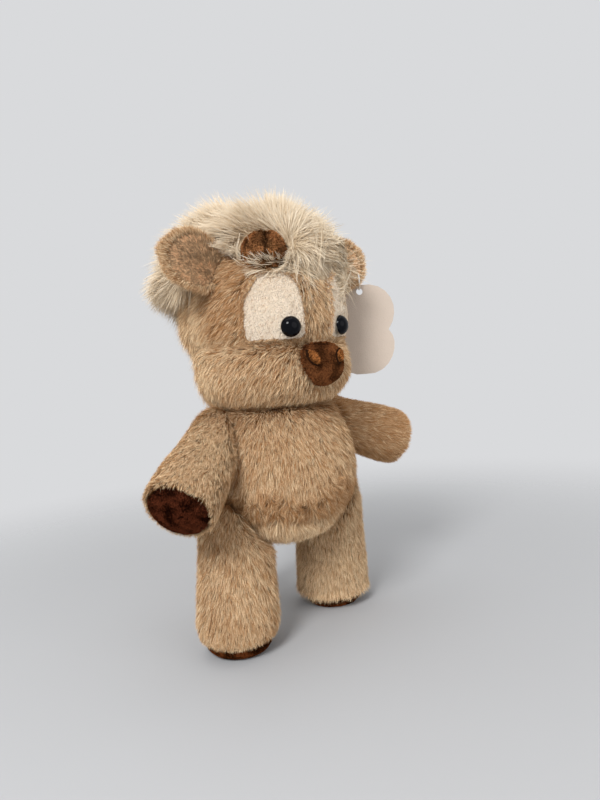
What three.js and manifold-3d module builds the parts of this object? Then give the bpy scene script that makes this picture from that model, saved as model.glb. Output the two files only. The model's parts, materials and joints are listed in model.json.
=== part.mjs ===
// Plush cow: a stuffed toy that stands on two flat soles, facing -Y, with its right side at -X.
// Sizes are in millimetres and leave the pile out. The seams are real gaps between the sewn pieces.
import * as THREE from "three";
import { mergeVertices } from "three/addons/utils/BufferGeometryUtils.js";
import Module from "manifold-3d";

const wasm = await Module();
wasm.setup();

// Fabric and fits
const SKIN = 3; // backing cloth with the dense root of its pile
const PATCH = 1.6; // short-pile cloth
const SEAM_GAP = 0.3; // between sewn pieces
const FILL_GAP = 0.6; // between the stuffing and the cloth round it
const HINGE_GAP = 0.5; // between a limb and the body it swings on

// Heights, floor upwards
const LEG_HEIGHT = 69; // floor to the underside of the belly
const BODY_HEIGHT = 95; // belly to the neck seam
const HEAD_HEIGHT = 122; // neck seam to the crown under the hair
const NECK_Z = LEG_HEIGHT + BODY_HEIGHT;

// Body
const BODY_RADIUS = 53;
const BODY_DEPTH = 0.96; // depth as a share of the width
const BELLY_Z = LEG_HEIGHT + 0.48 * BODY_HEIGHT;
const NECK_RADIUS = 36;

// Head
const HEAD_RADIUS = 55;
const HEAD_DEPTH = 0.98; // front
const HEAD_BACK = 0.17; // how much deeper the back of the head swells
const NAPE = 0.1; // and how much it draws in above the neck
const HEAD_MID = 0.5 * HEAD_HEIGHT; // widest level, above the neck
const MUZZLE_HEIGHT = 43; // neck seam to the seam under the eyes
const MUZZLE_RADIUS = 53;
const MUZZLE_MID = 0.56 * MUZZLE_HEIGHT;
const SEAM_RADIUS = 51;
const MUZZLE_PUSH = 5; // how far the muzzle stands out in front

// Face
const EYE_PATCH_WIDTH = 39;
const EYE_PATCH_HEIGHT = 43;
const EYE_PATCH_TURN = 33; // degrees from the middle of the face
const EYE_DIAMETER = 13.5;
const EYE_TURN = 23;
const EYE_HEIGHT = MUZZLE_HEIGHT + 8; // above the neck
const SHANK_DIAMETER = 5;
const WASHER_DIAMETER = 15;
const WASHER_THICKNESS = 2;
const NOSE_WIDTH = 35;
const NOSE_HEIGHT = 29;
const NOSE_THICKNESS = 3.4;
const NOSE_Z = NECK_Z + 26;
const NOSTRIL_LENGTH = 13;
const NOSTRIL_WIDTH = 6.5;

// Crown and ears
const HORN_LENGTH = 17;
const HORN_RADIUS = 16;
const HORN_TURN = 36;
const HORN_HEIGHT = HEAD_HEIGHT - 24; // of its root, above the neck
const EAR_FORWARD = 5;
const EAR_LENGTH = 40;
const EAR_WIDTH = 36;
const EAR_THICKNESS = 9;
const EAR_CUP = 9; // how far its rims curl forward
const EAR_HEIGHT = HEAD_HEIGHT - 29;
const EAR_RISE = 22; // degrees
const EAR_TURN = { right: 0, left: -22 }; // degrees, the left one bends forward
const EAR_SWING = [-12, 12];
const HAIR_RADIUS = 68;
const HAIR_DEPTH = 71;
const HAIR_BACK = 13; // how far the mop sits back
const HAIR_HEIGHT = HEAD_HEIGHT + 25; // top of the mop above the neck
const HAIRLINE = HEAD_HEIGHT - 34; // above the neck, in the middle of the head

// Arms: the length runs from the shoulder to the pad
const ARM_LENGTH = 75;
const ARM_ROOT_RADIUS = 18;
const PAW_RADIUS = 23;
const PAW_PAD_RADIUS = 19;
const PAW_BULGE = 4;
const SHOULDER_Y = 5;
const SHOULDER_Z = NECK_Z - 15;
const ARM_SWING = [-40, 75];
const ARM_RIGHT = new THREE.Vector3(-0.71, -0.46, -0.51);
const ARM_LEFT = new THREE.Vector3(0.93, -0.12, -0.34);

// Legs: hips at the front edge of the belly's underside
const HIP_SPREAD = 43;
const HIP_Y = -6;
const HIP_Z = LEG_HEIGHT + 18;
const LEG_BEHIND_HIP = 8;
const LEG_ROOT_RADIUS = 24;
const FOOT_RADIUS = 27;
const SOLE_RADIUS = 22;
const SOLE_BULGE = 9;
const SOLE_FLAT = 3; // how much of the bulge the floor presses flat
const LEG_SPLAY = 6; // degrees outwards
const LEG_STRIDE = { right: 3, left: -9 }; // degrees forwards
const LEG_SWING = [-15, 60];

// Tail and hang tag
const TAIL_LENGTH = 52;
const TAIL_RADIUS = 4.5;
const TUFT_LENGTH = 30;
const TUFT_RADIUS = 9;
const TAIL_Z = LEG_HEIGHT + 34;
const TAIL_STAND = 13; // how far the tail stands off the back
const TAIL_WAG = [-35, 35];
const TAG_WIDTH = 52;
const TAG_HEIGHT = 69;
const TAG_THICKNESS = 0.8;
const TAG_HOLE = 5;
const TAG_TURN = -40; // degrees, the way the card faces
const LOOP_RADIUS = 6;
const LOOP_WIRE = 0.6;

// Facets round the skins and round the stuffing inside them
const ROUND = 24;
const COARSE = 14;

const UP = new THREE.Vector3(0, 0, 1);
const FORWARD = new THREE.Vector3(-1, 0, 0); // a turn about it swings a limb forwards
const rad = THREE.MathUtils.degToRad;
const at = (x, y, z) => new THREE.Matrix4().makeTranslation(x, y, z);

// Solids
function solid(geometry) {
  const bare = new THREE.BufferGeometry();
  bare.setAttribute("position", geometry.getAttribute("position"));
  bare.setIndex(geometry.index);
  const merged = mergeVertices(bare, 1e-4);
  const found = merged.index.array;
  const faces = [];
  for (let i = 0; i < found.length; i += 3) {
    const [a, b, c] = found.subarray(i, i + 3);
    if (a !== b && b !== c && c !== a) faces.push(a, b, c);
  }
  const make = (triVerts) =>
    new wasm.Manifold(
      new wasm.Mesh({ numProp: 3, vertProperties: Float32Array.from(merged.getAttribute("position").array), triVerts })
    );
  const body = make(Uint32Array.from(faces));
  return body.volume() > 0 ? body : make(Uint32Array.from(faces).reverse());
}

function placed(body, matrix) {
  return body.transform(matrix.elements);
}

function largest(body) {
  return body.decompose().sort((a, b) => b.volume() - a.volume())[0];
}

function geometryOf(body) {
  const mesh = body.getMesh();
  const geometry = new THREE.BufferGeometry();
  geometry.setAttribute("position", new THREE.BufferAttribute(Float32Array.from(mesh.vertProperties), 3));
  geometry.setIndex(new THREE.BufferAttribute(Uint32Array.from(mesh.triVerts), 1));
  const flat = geometry.toNonIndexed();
  flat.computeVertexNormals();
  return flat;
}

function box(x0, x1, y0, y1, z0, z1) {
  const geometry = new THREE.BoxGeometry(x1 - x0, y1 - y0, z1 - z0);
  return solid(geometry.translate((x0 + x1) / 2, (y0 + y1) / 2, (z0 + z1) / 2));
}

function rod(radius, z0, z1, sides = 16) {
  const geometry = new THREE.CylinderGeometry(radius, radius, z1 - z0, sides);
  return solid(geometry.rotateX(Math.PI / 2).translate(0, 0, (z0 + z1) / 2));
}

// A profile of (radius, height) points turned round the Z axis
function turned(points, sides) {
  return new THREE.LatheGeometry(points, sides).rotateX(Math.PI / 2);
}

// The profile moved outwards by d; ends on the axis slide along it
function offset(points, d) {
  return points.map((p, i) => {
    const before = points[Math.max(i - 1, 0)];
    const after = points[Math.min(i + 1, points.length - 1)];
    const along = after.clone().sub(before).normalize();
    if (p.x < 1e-6) return new THREE.Vector2(0, p.y + (i ? d : -d));
    return new THREE.Vector2(p.x + along.y * d, p.y - along.x * d);
  });
}

// Part of an ellipse from its widest point (radius r at height z) to the point (rEnd, zEnd)
function swell(r, z, rEnd, zEnd, steps) {
  const end = Math.acos(rEnd / r);
  const height = (zEnd - z) / Math.sin(end);
  return new THREE.EllipseCurve(0, z, r, height, 0, end).getPoints(steps);
}

// Cross sections joined into one closed skin, with a fan at each end
function loft(rings) {
  const count = rings[0].length;
  const middle = (ring) => ring.reduce((sum, p) => sum.add(p), new THREE.Vector3()).divideScalar(count);
  const points = [...rings.flat(), middle(rings[0]), middle(rings.at(-1))];
  const faces = [];
  rings.forEach((ring, k) => {
    for (let i = 0; i < count; i++) {
      const j = (i + 1) % count;
      const [a, b] = [k * count + i, k * count + j];
      if (k === 0) faces.push(points.length - 2, b, a);
      if (k === rings.length - 1) faces.push(points.length - 1, a, b);
      else faces.push(a, b, b + count, a, b + count, a + count);
    }
  });
  const geometry = new THREE.BufferGeometry().setFromPoints(points);
  geometry.setIndex(faces);
  return geometry;
}

// Round sections along a curve; radius(t) runs from the root to the tip
function tapered(curve, radius, sides, steps) {
  const frames = curve.computeFrenetFrames(steps);
  const rings = [];
  for (let k = 0; k <= steps; k++) {
    const centre = curve.getPointAt(k / steps);
    const ring = [];
    for (let i = 0; i < sides; i++) {
      const turn = (2 * Math.PI * i) / sides;
      const out = frames.normals[k].clone().multiplyScalar(Math.cos(turn));
      out.addScaledVector(frames.binormals[k], Math.sin(turn));
      ring.push(centre.clone().addScaledVector(out, radius(k / steps)));
    }
    rings.push(ring);
  }
  return loft(rings);
}

// What is left of a limb after the body it swings on has passed through its whole range
function clearedBy(limb, body, pivot, axis, range) {
  const steps = Math.ceil((range[1] - range[0]) / 15);
  for (let k = 0; k <= steps; k++) {
    const angle = rad(range[0] + ((range[1] - range[0]) * k) / steps);
    const back = at(...pivot).multiply(new THREE.Matrix4().makeRotationAxis(axis, -angle));
    limb = limb.subtract(placed(body, back.multiply(at(...pivot.clone().negate()))));
  }
  return largest(limb);
}

// Body
const bodyProfile = [
  ...swell(BODY_RADIUS, BELLY_Z, 0, LEG_HEIGHT, 6).reverse(),
  ...swell(BODY_RADIUS, BELLY_Z, NECK_RADIUS, NECK_Z, 5).slice(1),
];
bodyProfile[0].x = 0;

function bodySolid(grow, top = NECK_Z, sides = ROUND) {
  const outline = offset(bodyProfile, grow);
  outline.at(-1).y = top;
  outline.push(new THREE.Vector2(0, top));
  return solid(turned(outline, sides).scale(1, BODY_DEPTH, 1));
}

// Head
const muzzleProfile = [
  ...swell(MUZZLE_RADIUS, NECK_Z + MUZZLE_MID, NECK_RADIUS, NECK_Z, 4).reverse(),
  ...swell(MUZZLE_RADIUS, NECK_Z + MUZZLE_MID, SEAM_RADIUS, NECK_Z + MUZZLE_HEIGHT, 2).slice(1),
];
const headProfile = [
  ...muzzleProfile,
  ...swell(HEAD_RADIUS, NECK_Z + HEAD_MID, SEAM_RADIUS, NECK_Z + MUZZLE_HEIGHT, 2).reverse().slice(1),
  ...swell(HEAD_RADIUS, NECK_Z + HEAD_MID, 0, NECK_Z + HEAD_HEIGHT, 7).slice(1),
];
headProfile.at(-1).x = 0;

// The muzzle stands forward of the upper face, and the back of the head swells behind the ears
function shapeHead(geometry) {
  const points = geometry.getAttribute("position");
  for (let i = 0; i < points.count; i++) {
    const [y, z] = [points.getY(i), points.getZ(i) - NECK_Z];
    if (y > 0) {
      const rise = THREE.MathUtils.smoothstep(z, 0.5 * MUZZLE_HEIGHT, HEAD_MID);
      const nape = NAPE * THREE.MathUtils.smoothstep(z, 0, 0.4 * MUZZLE_HEIGHT);
      points.setY(i, y * (1 - nape + (HEAD_BACK + NAPE) * rise));
    } else if (z < MUZZLE_HEIGHT) {
      const swollen = Math.sin(Math.PI * THREE.MathUtils.clamp(z / MUZZLE_HEIGHT, 0, 1) ** 0.85);
      points.setY(i, y - MUZZLE_PUSH * swollen * (y / MUZZLE_RADIUS) ** 2);
    }
  }
  return geometry;
}

function headSolid(grow, bottom = NECK_Z, sides = ROUND) {
  const outline = offset(headProfile, grow);
  outline[0].y = bottom;
  outline.unshift(new THREE.Vector2(0, bottom));
  return solid(shapeHead(turned(outline, sides).scale(1, HEAD_DEPTH, 1)));
}

// Distance from the head's axis to its cloth at a height above the neck and a turn from the front
function headReach(height, turn) {
  const z = NECK_Z + height;
  const k = headProfile.findIndex((p, i) => i > 0 && p.y >= z);
  const [a, b] = [headProfile[k - 1], headProfile[k]];
  const r = THREE.MathUtils.lerp(a.x, b.x, (z - a.y) / (b.y - a.y));
  return r / Math.hypot(Math.sin(rad(turn)), Math.cos(rad(turn)) / HEAD_DEPTH);
}

// Places a shape drawn in X (across) and Z (up) so that its -Y looks out of the head
function outward(turn, height, reach = 0) {
  const spin = new THREE.Matrix4().makeRotationZ(rad(turn));
  return spin.multiply(at(0, -reach, NECK_Z + height));
}

// A cloth shape laid on the head: the outline cut from a layer of its surface
function onHead(shape, matrix, from, to) {
  const block = new THREE.ExtrudeGeometry(shape, { depth: HEAD_RADIUS, bevelEnabled: false, curveSegments: 8 });
  const cutter = placed(solid(block.rotateX(Math.PI / 2).translate(0, -20, 0)), matrix);
  return largest(headSolid(to).subtract(headSolid(from)).intersect(cutter));
}

function material(color, roughness = 0.95) {
  return new THREE.MeshStandardMaterial({ color, roughness, metalness: 0 });
}

function piece(name, body, color, roughness) {
  const mesh = new THREE.Mesh(geometryOf(body), material(color, roughness));
  mesh.name = name;
  return mesh;
}

// A group that turns about its own origin, holding pieces that are already in place
function hinged(name, pivot, pieces) {
  const group = new THREE.Group();
  group.name = name;
  group.position.copy(pivot);
  pieces.forEach((p) => group.attach(p));
  return group;
}

const TAN = 0xb59371;
const CREAM = 0xd6c3a2;
const PALE = 0xe8d9c4;
const BROWN = 0x53301c;
const DARK = 0x2f1a10;
const FILL = 0xf2f0ea;

const toy = new THREE.Group();
toy.name = "plush_cow";

// Body panels: front pair with a centre seam, back pair with the closing seam
const bodyShell = bodySolid(0).subtract(bodySolid(-SKIN, NECK_Z + 5));
const half = SEAM_GAP / 2;
const far = 2 * BODY_RADIUS;
for (const [side, x0, x1] of [["right", -far, -half], ["left", half, far]]) {
  for (const [face, y0, y1] of [["front", -far, -half], ["back", half, far]]) {
    const quarter = bodyShell.intersect(box(x0, x1, y0, y1, 0, NECK_Z + far));
    toy.add(piece(`body_${face}_${side}`, quarter, TAN));
  }
}
toy.add(piece("body_stuffing", bodySolid(-SKIN - FILL_GAP, NECK_Z, COARSE), FILL));

// Arms and legs: a stuffed tube that swells towards its end, closed there by a brown pad
function limb(name, spec) {
  const { length, root, end, padRadius, bulge, flat, pivot, start, along, range, pads } = spec;
  const lean = new THREE.Matrix4().makeRotationFromQuaternion(
    new THREE.Quaternion().setFromUnitVectors(UP, along.clone().normalize().negate())
  );
  const pose = at(...start).multiply(lean);
  const rim = new THREE.Vector2(padRadius + SKIN, -length);
  const wide = new THREE.Vector2(end, -length + 0.45 * end);
  const flare = new THREE.CubicBezierCurve(
    wide,
    new THREE.Vector2(end, -0.6 * length),
    new THREE.Vector2(root, -0.35 * length),
    new THREE.Vector2(root, 0)
  );
  const profile = [
    ...swell(end, wide.y, rim.x, rim.y, 2).reverse(),
    ...flare.getPoints(3).slice(1),
    ...swell(root, 0, 0, root, 3).slice(1),
  ];
  profile.at(-1).x = 0;
  const tube = (grow, stop) => {
    const outline = offset(profile, grow);
    outline[0].y = stop;
    return placed(solid(turned([new THREE.Vector2(0, stop), ...outline], 14)), pose);
  };
  const dome = (raise, radius) => {
    const line = swell(radius, -length + PATCH, 0, -length - bulge + raise, 5).reverse();
    line[0].x = 0;
    return line;
  };
  const thick = PATCH + flat;
  const dish = [...dome(0, padRadius), ...dome(thick, padRadius - PATCH).reverse()];
  const floor = box(-far, far, -far, far, 0, 3 * far);
  const cleared = (body) => clearedBy(body, bodySolid(HINGE_GAP), pivot, FORWARD, range);
  const shell = tube(0, -length).subtract(tube(-SKIN, -length - 5));
  const coreLine = offset(profile, -SKIN - FILL_GAP).slice(1);
  const coreEnd = dome(thick + FILL_GAP, padRadius - PATCH - FILL_GAP);
  const core = placed(solid(turned([...coreEnd, ...coreLine], 14)), pose);
  const pad = placed(solid(turned([...dish, dish[0].clone()], 14)), pose);
  return hinged(name, pivot, [
    piece(`${name}_skin`, cleared(shell), TAN),
    piece(`${name}_stuffing`, cleared(core), FILL),
    pads === "sole" ? piece(`${name}_sole`, pad.intersect(floor), BROWN) : piece(`${name}_pad`, pad, DARK),
  ]);
}

const shoulder = (side) => {
  const reach = bodyProfile.findLast((p) => p.y <= SHOULDER_Z).x;
  return new THREE.Vector3(side * (reach + 1), SHOULDER_Y, SHOULDER_Z);
};
const ARM = { length: ARM_LENGTH, root: ARM_ROOT_RADIUS, end: PAW_RADIUS, padRadius: PAW_PAD_RADIUS };
for (const [name, side, along] of [["arm_right", -1, ARM_RIGHT], ["arm_left", 1, ARM_LEFT]]) {
  const pivot = shoulder(side);
  const spec = { ...ARM, bulge: PAW_BULGE, flat: 0, pivot, start: pivot, along, range: ARM_SWING, pads: "pad" };
  toy.add(limb(name, spec));
}

const LEG = { root: LEG_ROOT_RADIUS, end: FOOT_RADIUS, padRadius: SOLE_RADIUS, bulge: SOLE_BULGE, flat: SOLE_FLAT };
for (const [name, side] of [["right", -1], ["left", 1]]) {
  const along = new THREE.Vector3(0, 0, -1).applyAxisAngle(FORWARD, rad(LEG_STRIDE[name]));
  along.applyAxisAngle(new THREE.Vector3(0, 1, 0), -side * rad(LEG_SPLAY));
  const pivot = new THREE.Vector3(side * HIP_SPREAD, HIP_Y, HIP_Z);
  const start = pivot.clone().add(new THREE.Vector3(0, LEG_BEHIND_HIP, 0));
  const length = HIP_Z / -along.z - SOLE_BULGE + SOLE_FLAT;
  toy.add(limb(`leg_${name}`, { ...LEG, length, pivot, start, along, range: LEG_SWING, pads: "sole" }));
}

// Eyes: a dome on a shank that passes the patch and the skin, held by a washer inside
const upper = box(-far, far, -far, far, NECK_Z + MUZZLE_HEIGHT + half, NECK_Z + 2 * far);
const lower = box(-far, far, -far, far, 0, NECK_Z + MUZZLE_HEIGHT - half);
let headShell = headSolid(0).subtract(headSolid(-SKIN, NECK_Z - 5));
let headCore = headSolid(-SKIN - FILL_GAP, NECK_Z + SEAM_GAP, COARSE);

function eyePatchShape() {
  const [w, h, r] = [EYE_PATCH_WIDTH / 2, EYE_PATCH_HEIGHT, 5];
  const shape = new THREE.Shape();
  shape.moveTo(-w + r, 0);
  shape.lineTo(w - r, 0);
  shape.quadraticCurveTo(w, 0, w, r);
  shape.lineTo(w - 1, 0.5 * h);
  shape.bezierCurveTo(w - 2, 0.86 * h, 0.6 * w, h, 0, h);
  shape.bezierCurveTo(-0.6 * w, h, 2 - w, 0.86 * h, 1 - w, 0.5 * h);
  shape.lineTo(-w, r);
  shape.quadraticCurveTo(-w, 0, -w + r, 0);
  return shape;
}

const face = new THREE.Group();
face.name = "face";
for (const [name, side] of [["right", -1], ["left", 1]]) {
  const reach = headReach(EYE_HEIGHT, EYE_TURN) + PATCH + 3 * SEAM_GAP;
  const pose = outward(side * EYE_TURN, EYE_HEIGHT, reach).multiply(new THREE.Matrix4().makeRotationX(Math.PI / 2));
  const inside = -PATCH - SKIN - 3 * SEAM_GAP; // inner side of the skin, from the eye's flat back
  const shankEnd = inside - WASHER_THICKNESS - 2;
  const domeLine = swell(EYE_DIAMETER / 2, 1, 0, 0.42 * EYE_DIAMETER, 4);
  domeLine.at(-1).x = 0;
  const shankR = SHANK_DIAMETER / 2;
  const eyeLine = [[0, shankEnd], [shankR, shankEnd], [shankR, 0], [EYE_DIAMETER / 2 - 0.6, 0]];
  const outline = [...eyeLine.map((p) => new THREE.Vector2(...p)), ...domeLine];
  const washer = rod(WASHER_DIAMETER / 2, inside - WASHER_THICKNESS, inside - SEAM_GAP, 14);
  const hole = placed(rod(shankR + SEAM_GAP, 2 * shankEnd, 5), pose);
  const pocket = placed(rod(WASHER_DIAMETER / 2 + 1, shankEnd - 1, 0, 14), pose);
  const patchPose = outward(side * EYE_PATCH_TURN, MUZZLE_HEIGHT + 1.5);
  const patch = onHead(eyePatchShape(), patchPose, SEAM_GAP, SEAM_GAP + PATCH).subtract(hole);
  headShell = headShell.subtract(hole);
  headCore = headCore.subtract(pocket);
  face.add(piece(`eye_patch_${name}`, patch, PALE));
  face.add(piece(`eye_${name}`, placed(solid(turned(outline, 16)), pose), 0x07080c, 0.08));
  const ring = placed(washer, pose).subtract(hole).subtract(headShell);
  face.add(piece(`eye_washer_${name}`, largest(ring), 0xd8d8d4, 0.6));
}

// Nose pad and its embroidered nostrils
function noseShape() {
  const [w, h] = [NOSE_WIDTH / 2, NOSE_HEIGHT / 2];
  const shape = new THREE.Shape();
  shape.moveTo(0, h);
  shape.bezierCurveTo(0.8 * w, h, w, 0.75 * h, w, 0.2 * h);
  shape.bezierCurveTo(w, -0.5 * h, 0.55 * w, -h, 0, -h);
  shape.bezierCurveTo(-0.55 * w, -h, -w, -0.5 * h, -w, 0.2 * h);
  shape.bezierCurveTo(-w, 0.75 * h, -0.8 * w, h, 0, h);
  return shape;
}

function nostrilShape() {
  const [l, w] = [NOSTRIL_LENGTH / 2, NOSTRIL_WIDTH];
  const shape = new THREE.Shape();
  shape.moveTo(0, -l);
  shape.quadraticCurveTo(w, 0, 0, l);
  shape.quadraticCurveTo(-w, 0, 0, -l);
  return shape;
}

const noseTop = SEAM_GAP + NOSE_THICKNESS;
face.add(piece("nose_pad", onHead(noseShape(), outward(0, NOSE_Z - NECK_Z), SEAM_GAP, noseTop), BROWN));
for (const [name, side] of [["right", -1], ["left", 1]]) {
  const tilt = new THREE.Matrix4().makeRotationY(side * rad(32));
  const pose = outward(side * 11.5, NOSE_Z - NECK_Z + 4).multiply(tilt);
  const stitches = onHead(nostrilShape(), pose, noseTop + 0.2, noseTop + 1);
  face.add(piece(`nostril_${name}`, stitches, 0x885834));
}

// Horns
const horns = new THREE.Group();
horns.name = "horns";
let hornSpace = null;
for (const [name, side] of [["right", -1], ["left", 1]]) {
  const root = outward(side * HORN_TURN, HORN_HEIGHT, headReach(HORN_HEIGHT, HORN_TURN) - 8);
  const bend = [[0, 0, 0], [0, -0.5, 0.35], [side * 0.1, -0.75, 0.95]];
  const curve = new THREE.QuadraticBezierCurve3(
    ...bend.map((p) => new THREE.Vector3(...p).multiplyScalar(HORN_LENGTH).applyMatrix4(root))
  );
  const taper = (t) => HORN_RADIUS * Math.sqrt(Math.max(1 - t ** 2.6, 0.02));
  const cone = (grow) => solid(tapered(curve, (t) => taper(t) + grow, 10, 5));
  const below = (z) => placed(rod(2 * HORN_RADIUS, -2 * HORN_LENGTH, z), root);
  const room = headSolid(SEAM_GAP);
  const roof = 0.74 * HORN_LENGTH;
  const skin = cone(0).subtract(cone(-SKIN / 2).intersect(below(roof)));
  const filling = cone(-SKIN / 2 - FILL_GAP).intersect(below(roof - FILL_GAP));
  horns.add(piece(`horn_${name}`, largest(skin.subtract(room)), 0x67422d));
  horns.add(piece(`horn_${name}_stuffing`, largest(filling.subtract(room)), FILL));
  const outwards = new THREE.Matrix4().makeRotationX(Math.PI / 2);
  const parting = placed(rod(HORN_RADIUS + 1, 0, far), root.clone().multiply(at(0, 0, 0.4 * HORN_LENGTH)).multiply(outwards));
  hornSpace = (hornSpace ?? parting).add(parting).add(cone(SEAM_GAP));
}

// Ears: a cupped leaf of two cloths, fur behind and short pile in front
const ears = {};
const earPivot = (side) => {
  const reach = headReach(EAR_HEIGHT, 90) + 2;
  return new THREE.Vector3(side * reach, -EAR_FORWARD, NECK_Z + EAR_HEIGHT);
};

const earTurn = (side) => new THREE.Matrix4().makeRotationZ(rad(side < 0 ? EAR_TURN.right : EAR_TURN.left));

function earPose(side) {
  const rise = new THREE.Matrix4().makeRotationY(-side * rad(EAR_RISE));
  return at(...earPivot(side)).multiply(earTurn(side)).multiply(rise);
}

function earLayer(side, front) {
  const rings = [];
  for (let k = 0; k <= 6; k++) {
    const t = k / 6;
    const along = EAR_LENGTH * (t - 0.1);
    const width = (EAR_WIDTH / 2) * (t < 0.55 ? 0.72 + 0.28 * Math.sin((Math.PI * t) / 1.1) : Math.sqrt(1 - ((t - 0.55) / 0.455) ** 2));
    const thick = (EAR_THICKNESS / 2) * Math.sqrt(1 - 0.85 * t * t);
    const ring = [];
    for (let i = 0; i <= 6; i++) {
      const turn = (Math.PI * i) / 6;
      ring.push([width * Math.cos(turn), (front ? -1 : 1) * (thick * Math.sin(turn) + half)]);
    }
    for (let i = 1; i < 5; i++) ring.push([width * (-1 + 0.4 * i), (front ? -1 : 1) * half]);
    rings.push(ring.map(([v, w]) => new THREE.Vector3(side * along, w - EAR_CUP * (v / (EAR_WIDTH / 2)) ** 2 * (1 - 0.4 * t), v)));
  }
  return placed(solid(loft(rings)), earPose(side));
}

// Hang tag: a plain card on a plastic loop through the left ear
const pierced = new THREE.Vector3(0.7 * EAR_LENGTH, -0.29 * EAR_CUP, -0.32 * EAR_WIDTH).applyMatrix4(earPose(1));
const loopPose = at(pierced.x, pierced.y, pierced.z - LOOP_RADIUS);
const loopTurn = new THREE.Matrix4().makeRotationZ(rad(TAG_TURN));
const loopRing = (wire) => {
  const ring = new THREE.TorusGeometry(LOOP_RADIUS, wire, 5, 18).rotateY(Math.PI / 2);
  return placed(solid(ring), loopPose.clone().multiply(loopTurn));
};

for (const [name, side] of [["right", -1], ["left", 1]]) {
  const layers = [];
  for (const [layer, front, color] of [["back", false, TAN], ["lining", true, 0x87624a]]) {
    let leaf = clearedBy(earLayer(side, front), headSolid(HINGE_GAP), earPivot(side), UP, EAR_SWING);
    if (side > 0) leaf = leaf.subtract(loopRing(LOOP_WIRE + SEAM_GAP));
    layers.push(piece(`ear_${name}_${layer}`, largest(leaf), color));
  }
  ears[name] = hinged(`ear_${name}`, earPivot(side), layers);
}

function tagShape() {
  const [w, h] = [TAG_WIDTH / 2, TAG_HEIGHT];
  const shape = new THREE.Shape();
  shape.moveTo(0, 0);
  shape.bezierCurveTo(0.9 * w, 3, 1.25 * w, -0.3 * h, 0.78 * w, -0.52 * h);
  shape.bezierCurveTo(1.15 * w, -0.66 * h, 0.8 * w, -1.04 * h, 0, -h);
  shape.bezierCurveTo(-0.8 * w, -1.04 * h, -1.15 * w, -0.66 * h, -0.78 * w, -0.52 * h);
  shape.bezierCurveTo(-1.25 * w, -0.3 * h, -0.9 * w, 3, 0, 0);
  const hole = new THREE.Path();
  hole.absarc(0, -TAG_HOLE, TAG_HOLE / 2, 0, 2 * Math.PI);
  shape.holes.push(hole);
  return shape;
}

const card = new THREE.ExtrudeGeometry(tagShape(), { depth: TAG_THICKNESS, bevelEnabled: false, curveSegments: 8 });
card.rotateX(Math.PI / 2).translate(0, TAG_THICKNESS / 2, 0);
const cardTop = -LOOP_RADIUS + LOOP_WIRE + SEAM_GAP + TAG_HOLE / 2;
const tagPose = loopPose.clone().multiply(loopTurn).multiply(at(0, 0, cardTop));
const loopBottom = new THREE.Vector3(0, 0, -LOOP_RADIUS).applyMatrix4(loopPose);
const tag = hinged("hang_tag", loopBottom, [piece("tag_card", placed(solid(card), tagPose), 0xb0a091, 0.7)]);
ears.left.attach(piece("tag_loop", loopRing(LOOP_WIRE), 0xe6e4de, 0.4));
ears.left.attach(tag);

// Hair mop: long pile over the crown and the back of the head, lower on the toy's left
const mop = new THREE.SphereGeometry(1, 20, 12).scale(HAIR_RADIUS, HAIR_DEPTH, 0.46 * HAIR_HEIGHT);
const mopCentre = NECK_Z + 0.54 * HAIR_HEIGHT;
const hairLean = new THREE.Matrix4().makeRotationY(rad(9)).multiply(new THREE.Matrix4().makeRotationX(rad(-16)));
const aboveLine = placed(box(-far, far, -far, far, 0, far), at(0, 0, NECK_Z + HAIRLINE).multiply(hairLean));
const sideways = new THREE.Matrix4().makeRotationY(Math.PI / 2);
const earBore = rod(0.7 * EAR_WIDTH, -2 * EAR_LENGTH, 2 * EAR_LENGTH);
const earRoom = (side) => placed(earBore, at(...earPivot(side)).multiply(earTurn(side)).multiply(sideways));
const tagRoom = box(0.8 * HAIR_RADIUS, far, -far, 0.6 * HAIR_RADIUS, 0, NECK_Z + EAR_HEIGHT);
const hair = solid(mop.translate(0, HAIR_BACK, mopCentre))
  .subtract(tagRoom)
  .intersect(aboveLine)
  .subtract(headSolid(2, NECK_Z, COARSE))
  .subtract(hornSpace)
  .subtract(earRoom(-1))
  .subtract(earRoom(1));

// Tail
const tailRoot = new THREE.Vector3(0, bodyProfile.findLast((p) => p.y <= TAIL_Z).x * BODY_DEPTH - 2, TAIL_Z);
const drop = (y, z) => tailRoot.clone().add(new THREE.Vector3(0, y, z));
const tailLine = new THREE.QuadraticBezierCurve3(drop(0, 0), drop(TAIL_STAND, 0), drop(TAIL_STAND, -TAIL_LENGTH));
const tuftTop = drop(TAIL_STAND, -TAIL_LENGTH - SEAM_GAP);
const tuftLine = new THREE.LineCurve3(tuftTop, drop(TAIL_STAND, -TAIL_LENGTH - TUFT_LENGTH));
const tailBar = solid(tapered(tailLine, () => TAIL_RADIUS, 10, 6));
const cord = clearedBy(tailBar, bodySolid(HINGE_GAP), tailRoot, new THREE.Vector3(0, 1, 0), TAIL_WAG);
const tuft = solid(tapered(tuftLine, (t) => TUFT_RADIUS * (0.45 + 0.55 * Math.sin(Math.PI * t ** 0.8)) * (1 - 0.7 * t ** 3), 12, 7));
const tail = hinged("tail", tailRoot, [piece("tail_cord", largest(cord), TAN), piece("tail_tuft", tuft, CREAM)]);

const head = hinged("head", new THREE.Vector3(0, 0, NECK_Z), [
  piece("head_skin", headShell.intersect(upper), TAN),
  piece("muzzle_skin", headShell.intersect(lower), TAN),
  piece("head_stuffing", headCore, FILL),
  piece("hair_mop", largest(hair), CREAM),
  face,
  horns,
  ears.right,
  ears.left,
]);
toy.add(head, tail);

// The origin lies on the floor under the middle of the toy
const middle = new THREE.Box3().setFromObject(toy).getCenter(new THREE.Vector3());
toy.position.set(-middle.x, -middle.y, 0);

export default toy;
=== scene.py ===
import json
import math

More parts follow.
